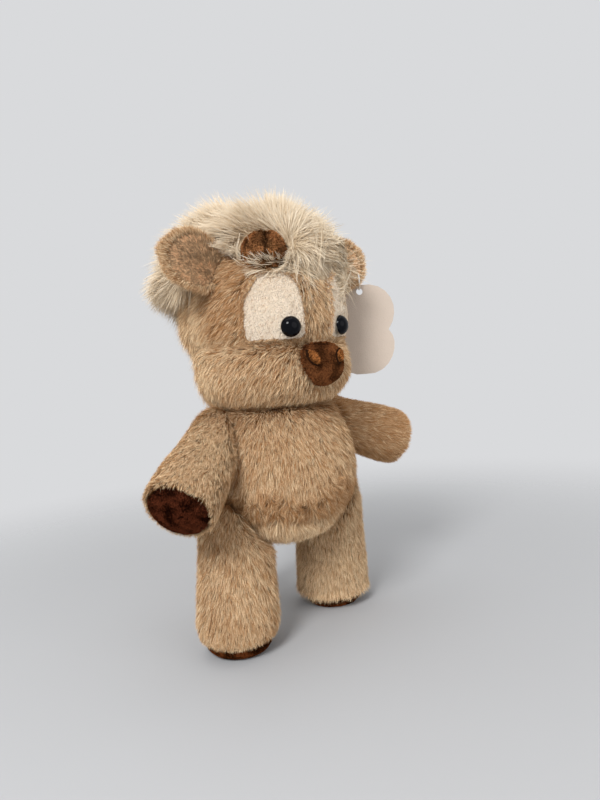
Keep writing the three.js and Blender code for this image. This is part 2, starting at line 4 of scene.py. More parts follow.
import bmesh
import bpy
import numpy as np
from mathutils import Matrix, Vector, kdtree
from mathutils.bvhtree import BVHTree


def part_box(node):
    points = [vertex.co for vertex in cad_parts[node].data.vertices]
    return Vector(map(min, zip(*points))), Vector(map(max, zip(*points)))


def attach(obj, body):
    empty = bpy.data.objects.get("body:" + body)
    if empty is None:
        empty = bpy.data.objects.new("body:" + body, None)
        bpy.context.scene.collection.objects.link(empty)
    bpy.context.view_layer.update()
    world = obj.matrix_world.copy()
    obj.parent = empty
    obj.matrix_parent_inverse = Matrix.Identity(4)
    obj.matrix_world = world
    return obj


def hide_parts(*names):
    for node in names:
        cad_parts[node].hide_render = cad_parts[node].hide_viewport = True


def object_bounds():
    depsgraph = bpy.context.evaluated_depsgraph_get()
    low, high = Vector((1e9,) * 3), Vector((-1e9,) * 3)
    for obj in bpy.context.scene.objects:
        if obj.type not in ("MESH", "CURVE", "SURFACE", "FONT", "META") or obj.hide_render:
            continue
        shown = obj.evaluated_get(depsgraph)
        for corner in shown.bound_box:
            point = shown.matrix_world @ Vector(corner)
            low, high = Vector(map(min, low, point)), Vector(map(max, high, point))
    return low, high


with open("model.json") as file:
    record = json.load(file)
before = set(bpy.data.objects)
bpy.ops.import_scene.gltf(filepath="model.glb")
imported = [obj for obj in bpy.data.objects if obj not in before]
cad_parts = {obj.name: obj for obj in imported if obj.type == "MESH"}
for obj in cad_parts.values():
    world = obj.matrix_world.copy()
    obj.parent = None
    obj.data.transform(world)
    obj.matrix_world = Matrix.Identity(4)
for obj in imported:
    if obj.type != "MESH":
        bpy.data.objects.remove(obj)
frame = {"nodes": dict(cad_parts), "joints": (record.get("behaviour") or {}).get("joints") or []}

bl_info = {
    "name": "Plush cow",
    "version": (1, 0, 0),
    "blender": (4, 5, 0),
    "location": "3D View > Sidebar > Plush cow",
    "description": "Dresses a jointed plush cow with stuffed skins, combed pile and a hair mop",
    "category": "Add Mesh",
}

MM = 0.001
SIDES = ("right", "left")
SIGN = {"right": -1, "left": 1}

# Names of solids that several pieces ask for
TORSO = [f"body_{part}_{side}" for part in ("front", "back") for side in SIDES]
LIMBS = [f"{part}_{side}_skin" for part in ("arm", "leg") for side in SIDES]
PATCHES = [f"eye_patch_{side}" for side in SIDES]
HORNS = [f"horn_{side}" for side in SIDES]

# Room for the pile: the box of the solids, a share of each side and a margin
CAD_BOX = [list(corner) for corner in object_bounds()]
BOX_SHARE, BOX_MARGIN, FLOOR_GAP = 0.03, 9.5 * MM, 0.3 * MM
FUR_ROOM = BOX_SHARE * (np.array(CAD_BOX[1]) - np.array(CAD_BOX[0])) + BOX_MARGIN
FUR_LOW = np.array(CAD_BOX[0]) - FUR_ROOM * (1, 1, 0) + np.array((0, 0, FLOOR_GAP))
FUR_HIGH = np.array(CAD_BOX[1]) + FUR_ROOM

# Places on the toy
PIVOT = {joint["name"]: np.array(joint["pos_m"]) for joint in frame["joints"]}
AXIS = PIVOT["neck_turn"]
SEAM_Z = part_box("head_skin")[0].z
NOSE = np.array((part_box("nose_pad")[0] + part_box("nose_pad")[1]) / 2)
PARTING = AXIS + np.array((-7, -44, 105)) * MM
HAIRLINE_TURNS = (-70, -46, -36, -22, -10, 2, 20, 45, 70)
HAIRLINE_HEIGHTS = (112, 96, 88, 86, 84, 80, 79, 81, 90)
EYE_TURN, HORN_TURN = 23, 36
EYE_RADIUS, EYE_FLATNESS, EYE_RIM = 6.75 * MM, 0.82, 0.5 * MM

# Cloth simulation that swells the stuffed forms
STUFFING = {"quality": 4, "mass": 0.1, "use_pressure": True, "uniform_pressure_force": 4}
STUFFING_FRAMES = 20

# Pile: strands sown per coat (named without its side), usual lift in degrees, width of the painted shade in
# the creases
STRANDS = {
    "body_fur_front": 92000, "body_fur_back": 62000, "head_fur": 95000, "muzzle_fur": 69000,
    "arm_fur": 57000, "leg_fur": 60000, "tail_fur": 6500, "tail_tuft_hair": 4500,
    "ear_fur": 15000, "ear_nap": 14000, "ear_rim": 6000, "eye_patch_edge": 2600, "nostril_thread": 420,
    "hair_mop": 68000, "hair_brow": 13000, "hair_forelock": 8000, "hair_wisps": 150,
}
LIFT = 36
SHADED_CREASE = 9 * MM

# Camera and lamps; a lamp stands this far to the camera, to its right and up, with a size and a power
PICTURE_HEIGHT, FOCAL_PIXELS, SENSOR = 800, 601, 36
TARGET = Vector((10.5, -20.7, 165)) * MM
LAMPS = {"key": (1.05, -0.4, 0.75, 0.45, 13.5), "fill": (0.9, 0.9, 0.25, 1.2, 3.5)}
TOP_LAMP = (Vector((0, 0.2, 1.3)), 1.4, 5)
FLOOR_RADIUS, FLOOR_FADE = 3, (0.18, 0.75)


def srgb(red, green, blue):
    """A colour written in 0 to 255 as Blender's linear numbers"""
    shares = (red / 255, green / 255, blue / 255)
    return tuple(c / 12.92 if c < 0.0404 else ((c + 0.055) / 1.055) ** 2.4 for c in shares)


def colour(label, description, *value):
    return bpy.props.FloatVectorProperty(
        name=label, description=description, subtype="COLOR", size=3, min=0, max=1, default=srgb(*value))


def length(label, description, millimetres):
    return bpy.props.FloatProperty(
        name=label, description=description, unit="LENGTH", min=0, default=millimetres * MM)


def angle(label, description, degrees):
    return bpy.props.FloatProperty(
        name=label, description=description, subtype="ANGLE", default=math.radians(degrees))


class PlushSizes(bpy.types.PropertyGroup):
    pile: length("Pile", "Length of the fur on body, head and limbs", 9.5)
    back_pile: length("Back pile", "Length of the fur on the back of the head", 18)
    hair: length("Hair", "Length of the hair in the mop", 30)
    strand: length("Strand", "Width of a strand of fur at its middle", 0.3)
    fine: length("Fine strand", "Width of a strand of the short pile", 0.3)
    swell: length("Swell", "How far the stuffing may push the cloth out", 2.5)


class PlushColours(bpy.types.PropertyGroup):
    tan_root: colour("Tan root", "Fur at its root", 106, 66, 34)
    tan_dark: colour("Tan dark", "Darkest strands of the fur", 188, 140, 94)
    tan_light: colour("Tan light", "Lightest strands of the fur", 252, 226, 186)
    hair_root: colour("Hair root", "Mop at its root", 210, 187, 154)
    hair_dark: colour("Hair dark", "Darkest strands of the mop", 222, 200, 168)
    hair_light: colour("Hair light", "Lightest strands of the mop", 238, 226, 206)
    patch: colour("Patch", "Short pile round the eyes", 253, 240, 222)
    nose: colour("Nose", "Short pile of the nose", 88, 53, 30)
    nostril: colour("Nostril", "Embroidery thread of the nostrils", 132, 82, 44)
    horn: colour("Horn", "Short pile of the horns", 108, 73, 45)
    lining: colour("Lining", "Short pile inside the ears", 175, 145, 113)
    paw: colour("Paw", "Short pile of the paw pads", 52, 24, 13)
    sole: colour("Sole", "Short pile of the soles", 70, 36, 16)
    card: colour("Card", "Hang tag card", 212, 197, 183)


class PlushStage(bpy.types.PropertyGroup):
    azimuth: angle("Azimuth", "Side the camera looks from", -39)
    elevation: angle("Elevation", "Camera above the horizon", 3)
    roll: angle("Roll", "Lean of the picture", 5)
    distance: length("Distance", "Camera to the middle of the toy", 440)
    backdrop: colour("Backdrop", "Wall behind the toy", 217, 218, 220)
    floor: colour("Floor", "Floor under the toy", 187, 188, 190)


# Objects and meshes

def alone(piece):
    """Selects one object and makes it active"""
    bpy.ops.object.select_all(action="DESELECT")
    piece.select_set(True)
    bpy.context.view_layer.objects.active = piece


def applied(piece, kind, **settings):
    """Adds a modifier with these settings and applies it"""
    alone(piece)
    modifier = piece.modifiers.new(kind.title(), kind)
    for key, value in settings.items():
        setattr(modifier, key, value)
    bpy.ops.object.modifier_apply(modifier=modifier.name)


def solids_of(*names):
    return [frame["nodes"][name] for name in names]


def linked(name, data):
    """A new object with this data, put into the scene"""
    made = bpy.data.objects.new(name, data)
    bpy.context.scene.collection.objects.link(made)
    return made


def vectors_of(mesh, kind):
    flat = np.empty(len(mesh.vertices) * 3)
    mesh.vertices.foreach_get(kind, flat)
    return flat.reshape(-1, 3)


def points_of(mesh):
    return vectors_of(mesh, "co")


def normals_of(mesh):
    return vectors_of(mesh, "normal")


def move_points(mesh, points):
    mesh.vertices.foreach_set("co", np.ascontiguousarray(points, float).ravel())
    mesh.update()


def unit(vectors):
    return vectors / np.maximum(np.linalg.norm(vectors, axis=-1, keepdims=True), 1e-12)


def smoothstep(low, high, value):
    t = np.clip((value - low) / (high - low), 0, 1)
    return t * t * (3 - 2 * t)


def ripple(points, wavelength, seed):
    """Smooth random waves over space, about -1 to 1"""
    dice = np.random.default_rng(seed)
    waves = unit(dice.normal(size=(8, 3))) * dice.uniform(0.6, 1.6, (8, 1)) * 2 * math.pi / wavelength
    return np.sin(points @ waves.T + dice.uniform(0, 2 * math.pi, 8)).sum(1) / 3


def copy_of(name, *nodes):
    """A new object with the merged meshes of these solids"""
    shape = bmesh.new()
    for solid in solids_of(*nodes):
        shape.from_mesh(solid.data)
    bmesh.ops.remove_doubles(shape, verts=shape.verts, dist=1e-6)
    mesh = bpy.data.meshes.new(name)
    shape.to_mesh(mesh)
    shape.free()
    return linked(name, mesh)


def remeshed(piece, voxel, smooth):
    """Covers a piece with even cells of this many millimetres and smooths them"""
    piece.data.remesh_voxel_size = voxel * MM
    alone(piece)
    bpy.ops.object.voxel_remesh()
    applied(piece, "SMOOTH", factor=0.5, iterations=smooth)


def rounded(name, solid, voxel, smooth):
    """A copy of one solid with soft edges"""
    piece = copy_of(name, solid)
    remeshed(piece, voxel, smooth)
    bpy.ops.object.shade_smooth()
    return piece


def cut_at(piece, height, clear):
    """Cuts a piece at this height, clears one side and closes the other"""
    alone(piece)
    bpy.ops.object.mode_set(mode="EDIT")
    bpy.ops.mesh.select_all(action="SELECT")
    bpy.ops.mesh.bisect(plane_co=(0, 0, height), plane_no=(0, 0, 1), use_fill=True, **{clear: True})
    bpy.ops.object.mode_set(mode="OBJECT")


def stuff(piece, cap, seams):
    """The stuffing presses the cloth out; sewn seams keep their place"""
    rest = points_of(piece.data)
    held = piece.vertex_groups.new(name="seams")
    if seams is not None:
        for index in np.flatnonzero(seams(rest)):
            held.add([int(index)], 1, "REPLACE")
    cloth = piece.modifiers.new("Stuffing", "CLOTH")
    for key, value in STUFFING.items():
        setattr(cloth.settings, key, value)
    cloth.settings.vertex_group_mass = held.name
    cloth.settings.effector_weights.gravity = 0
    scene = bpy.context.scene
    for step in range(STUFFING_FRAMES):
        scene.frame_set(step + 1)
    swollen = piece.evaluated_get(bpy.context.evaluated_depsgraph_get())
    moved = points_of(swollen.data) - rest
    piece.modifiers.remove(cloth)
    piece.vertex_groups.remove(held)
    scene.frame_set(1)
    if not np.isfinite(moved).all():
        raise RuntimeError(f"the stuffing of {piece.name} gave no shape")
    far = np.linalg.norm(moved, axis=1, keepdims=True)
    move_points(piece.data, rest + moved * np.minimum(1, cap / np.maximum(far, 1e-9)))


def stuffed(name, nodes, voxel=4, inset=2.5, smooth=6, seams=None, levels=1):
    """A padded form: solids merged, drawn in a little and swollen by their stuffing"""
    piece = copy_of(name, *nodes)
    remeshed(piece, voxel, smooth)
    move_points(piece.data, points_of(piece.data) - normals_of(piece.data) * inset * MM)
    stuff(piece, bpy.context.scene.plush_sizes.swell, seams)
    applied(piece, "SMOOTH", factor=0.5, iterations=2)
    if levels:
        applied(piece, "SUBSURF", levels=levels, render_levels=levels)
    bpy.ops.object.shade_smooth()
    return piece


def dressed(piece, body, slot, finish, *nodes):
    """Rides a piece on its body in the place of its solids"""
    piece.data.materials.clear()
    piece.data.materials.append(finish)
    if nodes:
        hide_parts(*nodes)
    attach(piece, body)
    return piece


# Pile

def scatter(ground, count, dice, room=None):
    """Points spread evenly over a mesh where there is room, with its normals there"""
    mesh = ground.data
    mesh.calc_loop_triangles()
    corners = np.empty(len(mesh.loop_triangles) * 3, np.int32)
    mesh.loop_triangles.foreach_get("vertices", corners)
    corners = corners.reshape(-1, 3)
    places, facing = points_of(mesh), normals_of(mesh)
    free = np.ones(len(places)) if room is None else room(places, facing)
    points, normals = places[corners], facing[corners]
    area = np.linalg.norm(np.cross(points[:, 1] - points[:, 0], points[:, 2] - points[:, 0]), axis=1)
    area = area * (free[corners].max(1) > 0)
    pick = np.searchsorted(np.cumsum(area) / area.sum(), dice.random(count)).clip(0, len(area) - 1)
    share = dice.random((count, 2))
    share = np.where(share.sum(1, keepdims=True) > 1, 1 - share, share)
    share = np.column_stack((1 - share.sum(1), share))
    kept = (free[corners[pick]] * share).sum(1) > 0
    pick, share = pick[kept], share[kept][:, :, None]
    return (points[pick] * share).sum(1), unit((normals[pick] * share).sum(1))


def tree_of(piece):
    mesh = piece.data
    return BVHTree.FromPolygons([v.co for v in mesh.vertices], [p.vertices for p in mesh.polygons])


def within(tree, spot):
    """Whether a ray from this spot leaves the closed shape an odd number of times"""
    heading, start, odd = Vector((0.31, 0.52, 0.796)), spot, False
    while True:
        place = tree.ray_cast(start, heading)[0]
        if place is None:
            return odd
        start, odd = place + heading * 1e-6, not odd


def around(points, piece, margin):
    """Which points lie in the box of a piece, grown by a margin"""
    corners = points_of(piece.data)
    return np.flatnonzero(((points > corners.min(0) - margin) & (points < corners.max(0) + margin)).all(1))


def depth_in(points, *pieces, margin=0.012):
    """How deep each point lies in these closed shapes; negative outside, and -1 beyond the margin"""
    depth = np.full(len(points), -1.0)
    for piece in pieces:
        tree = tree_of(piece)
        for index in around(points, piece, margin):
            spot = Vector(points[index])
            reach = tree.find_nearest(spot)[3]
            depth[index] = max(depth[index], reach if within(tree, spot) else -reach)
    return depth


def towards(points, reach, *pieces):
    """How close each point is to these shapes, 1 on them and 0 beyond the reach, and the way to them"""
    close, way = np.zeros(len(points)), np.zeros((len(points), 3))
    for piece in pieces:
        tree = tree_of(piece)
        for index in around(points, piece, reach):
            place, _, _, far = tree.find_nearest(Vector(points[index]))
            if 1 - far / reach > close[index]:
                close[index] = 1 - far / reach
                way[index] = np.array(place) - points[index]
    return close, unit(way)


def nearest(points, centres):
    """For each point, which of the centres is closest"""
    tree = kdtree.KDTree(len(centres))
    for index, centre in enumerate(centres):
        tree.insert(centre, index)
    tree.balance()
    return np.array([tree.find(point)[1] for point in points])


def ribbons(name, lines, normals, widths, tones, spread, dice):
    """One mesh of strands, kept inside the room for the pile

    Each strand is a ribbon along its line, pointed at both ends, or cut blunt where the line has two points.
    """
    root = lines[:, :1]
    away = lines - root
    span = np.where(away > 0, FUR_HIGH - root, FUR_LOW - root)
    share = np.where(np.abs(away) > 1e-6, span / np.where(np.abs(away) > 1e-6, away, 1), 1)
    lines = root + away * np.clip(share.min((1, 2)), 0, 1)[:, None, None]
    count, steps, _ = lines.shape
    along = unit(np.gradient(lines, axis=1))
    out = np.repeat(normals[:, None], steps, 1)
    side = unit(np.cross(along, out))
    face = unit(np.cross(side, along))
    turn = (dice.uniform(-1, 1, count) * spread)[:, None, None]
    across = side * np.cos(turn) + face * np.sin(turn)
    t = np.linspace(0, 1, steps)
    inner = slice(1, steps if steps == 2 else steps - 1)
    body = np.ones(1) if steps == 2 else (4 * t[inner] * (1 - t[inner])) ** 0.6 * (1.15 - 0.3 * t[inner])
    half = across[:, inner] * (0.5 * widths[:, None] * body)[:, :, None]
    pairs = np.stack((lines[:, inner] - half, lines[:, inner] + half), 2).reshape(count, -1, 3)
    wide = [k for k in range(1, inner.stop) for _ in (0, 1)]
    order = [0] + wide + ([] if steps == 2 else [steps - 1])
    verts = np.concatenate((lines[:, :1], pairs) + (() if steps == 2 else (lines[:, -1:],)), 1)
    per, last = len(order), len(wide) - 1
    faces = [(0, 2, 1)] + [(k, k + 1, k + 3, k + 2) for k in range(1, last, 2)]
    faces += [] if steps == 2 else [(last, last + 1, last + 2)]
    loops = np.array(sum(faces, ()), np.int32)
    starts = np.cumsum([0] + [len(f) for f in faces[:-1]]).astype(np.int32)
    v = 0.02 + 0.96 * t[order]
    u = np.array([0] + [-0.006, 0.006] * (len(wide) // 2) + [0])[:per]
    mesh = bpy.data.meshes.new(name)
    mesh.vertices.add(count * per)
    mesh.vertices.foreach_set("co", verts.ravel())
    mesh.loops.add(count * len(loops))
    step = np.arange(count, dtype=np.int32)[:, None]
    mesh.loops.foreach_set("vertex_index", (loops[None] + step * per).ravel())
    mesh.polygons.add(count * len(starts))
    mesh.polygons.foreach_set("loop_start", (starts[None] + step * len(loops)).ravel())
    mesh.update(calc_edges=True)
    chart = mesh.uv_layers.new(name="OFBake")
    spots = np.empty((count, len(loops), 2), np.float32)
    spots[:, :, 0] = np.clip(tones, 0.01, 0.99)[:, None] + u[loops][None]
    spots[:, :, 1] = v[loops][None]
    chart.uv.foreach_set("vector", spots.ravel())
    return linked(name, mesh)


def one_way(*direction):
    """A comb that draws every strand the same way"""
    return lambda points, normals: np.tile(direction, (len(points), 1))


def laid(flow, normals):
    """Directions laid flat on the cloth"""
    return unit(flow - normals * (flow * normals).sum(1, keepdims=True))


def swung(flow, normals, turn):
    """Directions on the cloth, each turned by its angle"""
    return flow * np.cos(turn) + np.cross(normals, flow) * np.sin(turn)


def locks(lines, points, size, pull, dice, late=1.3, least=0.3):
    """Draws strands to the middle of their lock; also gives each strand its lock"""
    count, steps, _ = lines.shape
    centres = dice.choice(count, max(count // size, 1), replace=False)
    own = centres[nearest(points, points[centres])]
    draw = pull * np.linspace(0, 1, steps)[None, :, None] ** late
    return lines + (lines[own] - lines) * draw * dice.uniform(least, 1, (count, 1, 1)), own


def pile(name, ground, long, comb, seed, count=None, lift=LIFT, tone=0.5, wide=None, clump=7, pull=0.38,
         steps=3, room=None, spread=0.9, sway=0.2, sink=0.4, mix=0.4):
    """Fur over a ground mesh: combed, lifted off the cloth, drawn into locks and mixed in tone"""
    count = count or STRANDS[name.replace("_right", "").replace("_left", "")]
    dice = np.random.default_rng(seed)
    points, normals = scatter(ground, count, dice, room)
    count = len(points)
    flow = laid(comb(points, normals), normals)
    swing = sway * ripple(points, 0.014, seed + 1) + 0.8 * sway * ripple(points, 0.005, seed + 2)
    flow = swung(flow, normals, (swing + dice.normal(0, 0.2, count))[:, None])
    reach = (long(points) if callable(long) else np.full(count, long)) * dice.uniform(0.65, 1.15, count)
    rise = np.radians(lift(points) if callable(lift) else lift) * dice.uniform(0.7, 1.3, count)
    lines = [points - normals * sink * MM]
    for k in range(steps - 1):
        climb = (rise * (1.2 - 0.6 * k / max(steps - 2, 1)))[:, None]
        heading = flow * np.cos(climb) + normals * np.sin(climb)
        lines.append(lines[-1] + heading * reach[:, None] / (steps - 1))
    lines = np.stack(lines, 1)
    shade = tone(points) if callable(tone) else np.full(count, tone)
    if clump:
        lines, own = locks(lines, points, clump, pull, dice)
        shade = shade + dice.normal(0, 0.24, count)[own]
    shade = shade + dice.normal(0, mix, count)
    wide = bpy.context.scene.plush_sizes.strand if wide is None else wide
    widths = wide * dice.uniform(0.7, 1.2, count)
    return ribbons(name, lines, normals, widths, shade, spread, dice)


def nap(name, ground, density, seed, tall, room=None, tone=None, brushed=0.3, lift=34):
    """Short pile brushed down over a ground mesh, cut blunt, with so many strands per square millimetre"""
    area = sum(p.area for p in ground.data.polygons) / MM ** 2
    tone = tone or (lambda points: 0.5 + brushed * ripple(points, 0.011, seed + 5))
    return pile(name, ground, tall, one_way(0.2, 0.1, -1.0), seed, int(area * density), lift, tone, room=room,
                wide=bpy.context.scene.plush_sizes.fine, clump=12, pull=0.35, steps=2, spread=1.2, sway=0.5,
                sink=0.2, mix=0.25)


def turn_of(points):
    """Angle round the neck in degrees: 0 ahead, more to the left"""
    return np.degrees(np.arctan2(points[:, 0] - AXIS[0], AXIS[1] - points[:, 1]))


def hairline(points):
    """Height of the lowest hair roots over the brow"""
    return AXIS[2] + np.interp(turn_of(points), HAIRLINE_TURNS, HAIRLINE_HEIGHTS) * MM


def lifted(spots, solids, height):
    """Points that lie in or too near these shapes, moved off them"""
    for solid in solids:
        for index, spot in enumerate(spots):
            place, normal, _, _ = solid.find_nearest(Vector(spot))
            gap = (Vector(spot) - place).dot(normal)
            if gap < height[index]:
                spots[index] = spot + np.array(normal) * (height[index] - gap)
    return spots


def draped(spots, solid, height):
    """Points behind the front of this shape, laid over it as seen from the neck's axis"""
    for index, spot in enumerate(spots):
        out = Vector((*(spot[:2] - AXIS[:2]), 0)).normalized()
        place = solid.ray_cast(Vector(spot) + out * 0.05, -out, 0.08)[0]
        if place is not None and (place - Vector(spot)).dot(out) > -height[index]:
            spots[index] = np.array(place + out * height[index])
    return spots


# Finishes

def node(tree, kind, **settings):
    made = tree.nodes.new(kind)
    for key, value in settings.items():
        setattr(made, key, value)
    return made


def join(tree, *pairs):
    for source, socket in pairs:
        tree.links.new(source, socket)


def mixed(tree, factor, first, second):
    """A mix of two colours, each a socket or a plain value"""
    mix = node(tree, "ShaderNodeMix", data_type="RGBA")
    for socket, value in ((mix.inputs[0], factor), (mix.inputs[6], first), (mix.inputs[7], second)):
        if isinstance(value, bpy.types.NodeSocket):
            tree.links.new(value, socket)
        else:
            socket.default_value = value if isinstance(value, float) else (*value, 1)
    return mix.outputs[2]


def group(name, inputs, outputs):
    made = bpy.data.node_groups.new(name, "ShaderNodeTree")
    for label, kind in inputs:
        made.interface.new_socket(label, in_out="INPUT", socket_type=kind)
    for label, kind in outputs:
        made.interface.new_socket(label, in_out="OUTPUT", socket_type=kind)
    return made, node(made, "NodeGroupInput"), node(made, "NodeGroupOutput")


def strand_colour():
    """Node group: strand tone runs across the chart, root to tip runs up it"""
    if "strand colour" in bpy.data.node_groups:
        return bpy.data.node_groups["strand colour"]
    tree, given, put = group(
        "strand colour",
        [(label, "NodeSocketColor") for label in ("Root", "Dark", "Light")], [("Color", "NodeSocketColor")])
    chart = node(tree, "ShaderNodeUVMap", uv_map="OFBake")
    split = node(tree, "ShaderNodeSeparateXYZ")
    tip = node(tree, "ShaderNodeMapRange", interpolation_type="SMOOTHSTEP")
    tip.inputs[1].default_value, tip.inputs[2].default_value = 0.0, 0.75
    join(tree, (chart.outputs[0], split.inputs[0]), (split.outputs[1], tip.inputs[0]))
    strand = mixed(tree, split.outputs[0], given.outputs["Dark"], given.outputs["Light"])
    join(tree, (mixed(tree, tip.outputs[0], given.outputs["Root"], strand), put.inputs[0]))
    return tree


def cloth_grain():
    """Node group: mottled cloth under the pile, with the height of its knit"""
    if "cloth grain" in bpy.data.node_groups:
        return bpy.data.node_groups["cloth grain"]
    tree, given, put = group(
        "cloth grain",
        [("Dark", "NodeSocketColor"), ("Light", "NodeSocketColor"), ("Scale", "NodeSocketFloat")],
        [("Color", "NodeSocketColor"), ("Height", "NodeSocketFloat")])
    place = node(tree, "ShaderNodeTexCoord")
    fine = node(tree, "ShaderNodeTexNoise")
    fine.inputs["Detail"].default_value = 6
    broad = node(tree, "ShaderNodeTexNoise")
    broad.inputs["Scale"].default_value = 60
    for noise in (fine, broad):
        join(tree, (place.outputs["Object"], noise.inputs["Vector"]))
    join(tree, (given.outputs["Scale"], fine.inputs["Scale"]))
    speck = mixed(tree, fine.outputs["Fac"], given.outputs["Dark"], given.outputs["Light"])
    shade = mixed(tree, broad.outputs["Fac"], given.outputs["Dark"], speck)
    join(tree, (shade, put.inputs["Color"]), (fine.outputs["Fac"], put.inputs["Height"]))
    return tree


def shader(name, roughness, **sockets):
    """A plain finish made once under this name; its node tree is handed out only the first time"""
    name = f"plush {name}"
    finish = bpy.data.materials.get(name)
    if finish:
        return finish, None, None
    finish = bpy.data.materials.new(name)
    finish.use_nodes = True
    surface = finish.node_tree.nodes["Principled BSDF"]
    surface.inputs["Roughness"].default_value = roughness
    for label, value in sockets.items():
        surface.inputs[label.replace("_", " ")].default_value = value
    return finish, finish.node_tree, surface


def strand_finish(name, root, dark, light):
    """Pile: colour from each strand's tone and from root to tip"""
    finish, tree, surface = shader(name, roughness=0.8, Specular_IOR_Level=0.0)
    if tree:
        strand = node(tree, "ShaderNodeGroup", node_tree=strand_colour())
        for label, value in (("Root", root), ("Dark", dark), ("Light", light)):
            strand.inputs[label].default_value = (*value, 1)
        tree.links.new(strand.outputs["Color"], surface.inputs["Base Color"])
    return finish


def cloth_finish(name, dark, light, scale=900):
    """Backing cloth that shows between the strands"""
    finish, tree, surface = shader(name, roughness=0.9, Specular_IOR_Level=0.05)
    if tree:
        grain = node(tree, "ShaderNodeGroup", node_tree=cloth_grain())
        grain.inputs["Dark"].default_value = (*dark, 1)
        grain.inputs["Light"].default_value = (*light, 1)
        grain.inputs["Scale"].default_value = scale
        bump = node(tree, "ShaderNodeBump")
        bump.inputs["Strength"].default_value = 0.6
        bump.inputs["Distance"].default_value = 0.6 * MM
        join(tree, (grain.outputs["Color"], surface.inputs["Base Color"]),
             (grain.outputs["Height"], bump.inputs["Height"]), (bump.outputs[0], surface.inputs["Normal"]))
    return finish


def scaled(value, share):
    """A colour made lighter or darker, its hue kept"""
    return tuple(c * min(share, 1 / max(value)) for c in value)


def fur_finishes():
    """Tan fur: its cloth and its strands"""
    tint = bpy.context.scene.plush_colours
    cloth = cloth_finish("tan_cloth", scaled(tint.tan_root, 0.8), tint.tan_dark)
    return cloth, strand_finish("tan_fur", tint.tan_root, tint.tan_dark, tint.tan_light)


def hair_finishes():
    tint = bpy.context.scene.plush_colours
    cloth = cloth_finish("cream_cloth", tint.hair_root, tint.hair_dark)
    return cloth, strand_finish("cream_hair", tint.hair_root, tint.hair_dark, tint.hair_light)


def short_finishes(name, value, contrast=1.0, gain=1.7):
    """Short pile that looks this colour; the gain makes up for strands that shade each other"""
    cloth = cloth_finish(f"{name}_cloth", scaled(value, 0.65 * gain), scaled(value, 0.9 * gain), scale=1400)
    shares = (max(0.9 - 0.4 * contrast, 0.3), 1 - 0.35 * contrast, 1 + 0.5 * contrast)
    return cloth, strand_finish(f"{name}_nap", *(scaled(value, gain * share) for share in shares))


def shaders_mixed(tree, factor, first, second, end):
    """Two shaders mixed by a factor into the node at the end"""
    mix = node(tree, "ShaderNodeMixShader")
    join(tree, (factor, mix.inputs[0]), (first.outputs[0], mix.inputs[1]), (second.outputs[0], mix.inputs[2]),
         (mix.outputs[0], tree.nodes[end].inputs["Surface"]))


# Pieces

class PLUSH_OT_stage(bpy.types.Operator):
    """Pale floor, soft light and the camera"""
    bl_idname = "plush.stage"
    bl_label = "Stage"

    def execute(self, context):
        scene, stage = context.scene, context.scene.plush_stage
        scene.view_settings.view_transform = "Standard"
        a, e, r = stage.azimuth, stage.elevation, stage.roll
        back = Vector((math.sin(a) * math.cos(e), -math.cos(a) * math.cos(e), math.sin(e)))
        right = Vector((math.cos(a), math.sin(a), 0))
        up = back.cross(right)
        side, top = right * math.cos(r) - up * math.sin(r), up * math.cos(r) + right * math.sin(r)
        lens = bpy.data.cameras.new("camera")
        lens.lens, lens.sensor_width = FOCAL_PIXELS / PICTURE_HEIGHT * SENSOR, SENSOR
        lens.clip_start, lens.clip_end = 0.01, 50
        camera = linked("camera", lens)
        camera.matrix_world = Matrix.Translation(TARGET + back * stage.distance) @ Matrix(
            (side, top, back)).transposed().to_4x4()
        scene.camera = camera
        for name, (ahead, aside, above, size, power) in LAMPS.items():
            self.light(name, back * ahead + right * aside + up * above, size, power)
        self.light("top", *TOP_LAMP)
        self.world(scene, stage)
        self.floor(stage)
        return {"FINISHED"}

    @staticmethod
    def light(name, offset, size, power):
        lamp = bpy.data.lights.new(name, "AREA")
        lamp.shape, lamp.size, lamp.energy = "DISK", size, power
        holder = linked(name, lamp)
        holder.location = TARGET + offset
        holder.rotation_mode = "QUATERNION"
        holder.rotation_quaternion = (-offset).to_track_quat("-Z", "Y")

    @staticmethod
    def world(scene, stage):
        world = bpy.data.worlds.new("studio")
        world.use_nodes = True
        tree = world.node_tree
        light = tree.nodes["Background"]
        light.inputs["Color"].default_value = (1, 1, 1, 1)
        light.inputs["Strength"].default_value = 0.5
        wall = node(tree, "ShaderNodeBackground")
        wall.inputs["Color"].default_value = (*stage.backdrop, 1)
        path = node(tree, "ShaderNodeLightPath")
        seen = path.outputs["Is Camera Ray"]
        for ray in ("Is Glossy Ray", "Is Transmission Ray"):
            either = node(tree, "ShaderNodeMath", operation="MAXIMUM")
            join(tree, (seen, either.inputs[0]), (path.outputs[ray], either.inputs[1]))
            seen = either.outputs[0]
        shaders_mixed(tree, seen, light, wall, "World Output")
        scene.world = world

    @staticmethod
    def floor(stage):
        bpy.ops.object.select_all(action="DESELECT")
        bpy.ops.mesh.primitive_circle_add(vertices=96, radius=FLOOR_RADIUS, fill_type="NGON")
        floor = bpy.context.object
        floor.name = "floor"
        finish, tree, surface = shader("floor", roughness=0.9, Base_Color=(*stage.floor, 1))
        place = node(tree, "ShaderNodeTexCoord")
        away = node(tree, "ShaderNodeVectorMath", operation="LENGTH")
        fade = node(tree, "ShaderNodeMapRange", interpolation_type="SMOOTHSTEP")
        fade.inputs[1].default_value, fade.inputs[2].default_value = FLOOR_FADE
        join(tree, (place.outputs["Object"], away.inputs[0]), (away.outputs["Value"], fade.inputs[0]))
        clear = node(tree, "ShaderNodeBsdfTransparent")
        shaders_mixed(tree, fade.outputs[0], surface, clear, "Material Output")
        floor.data.materials.append(finish)


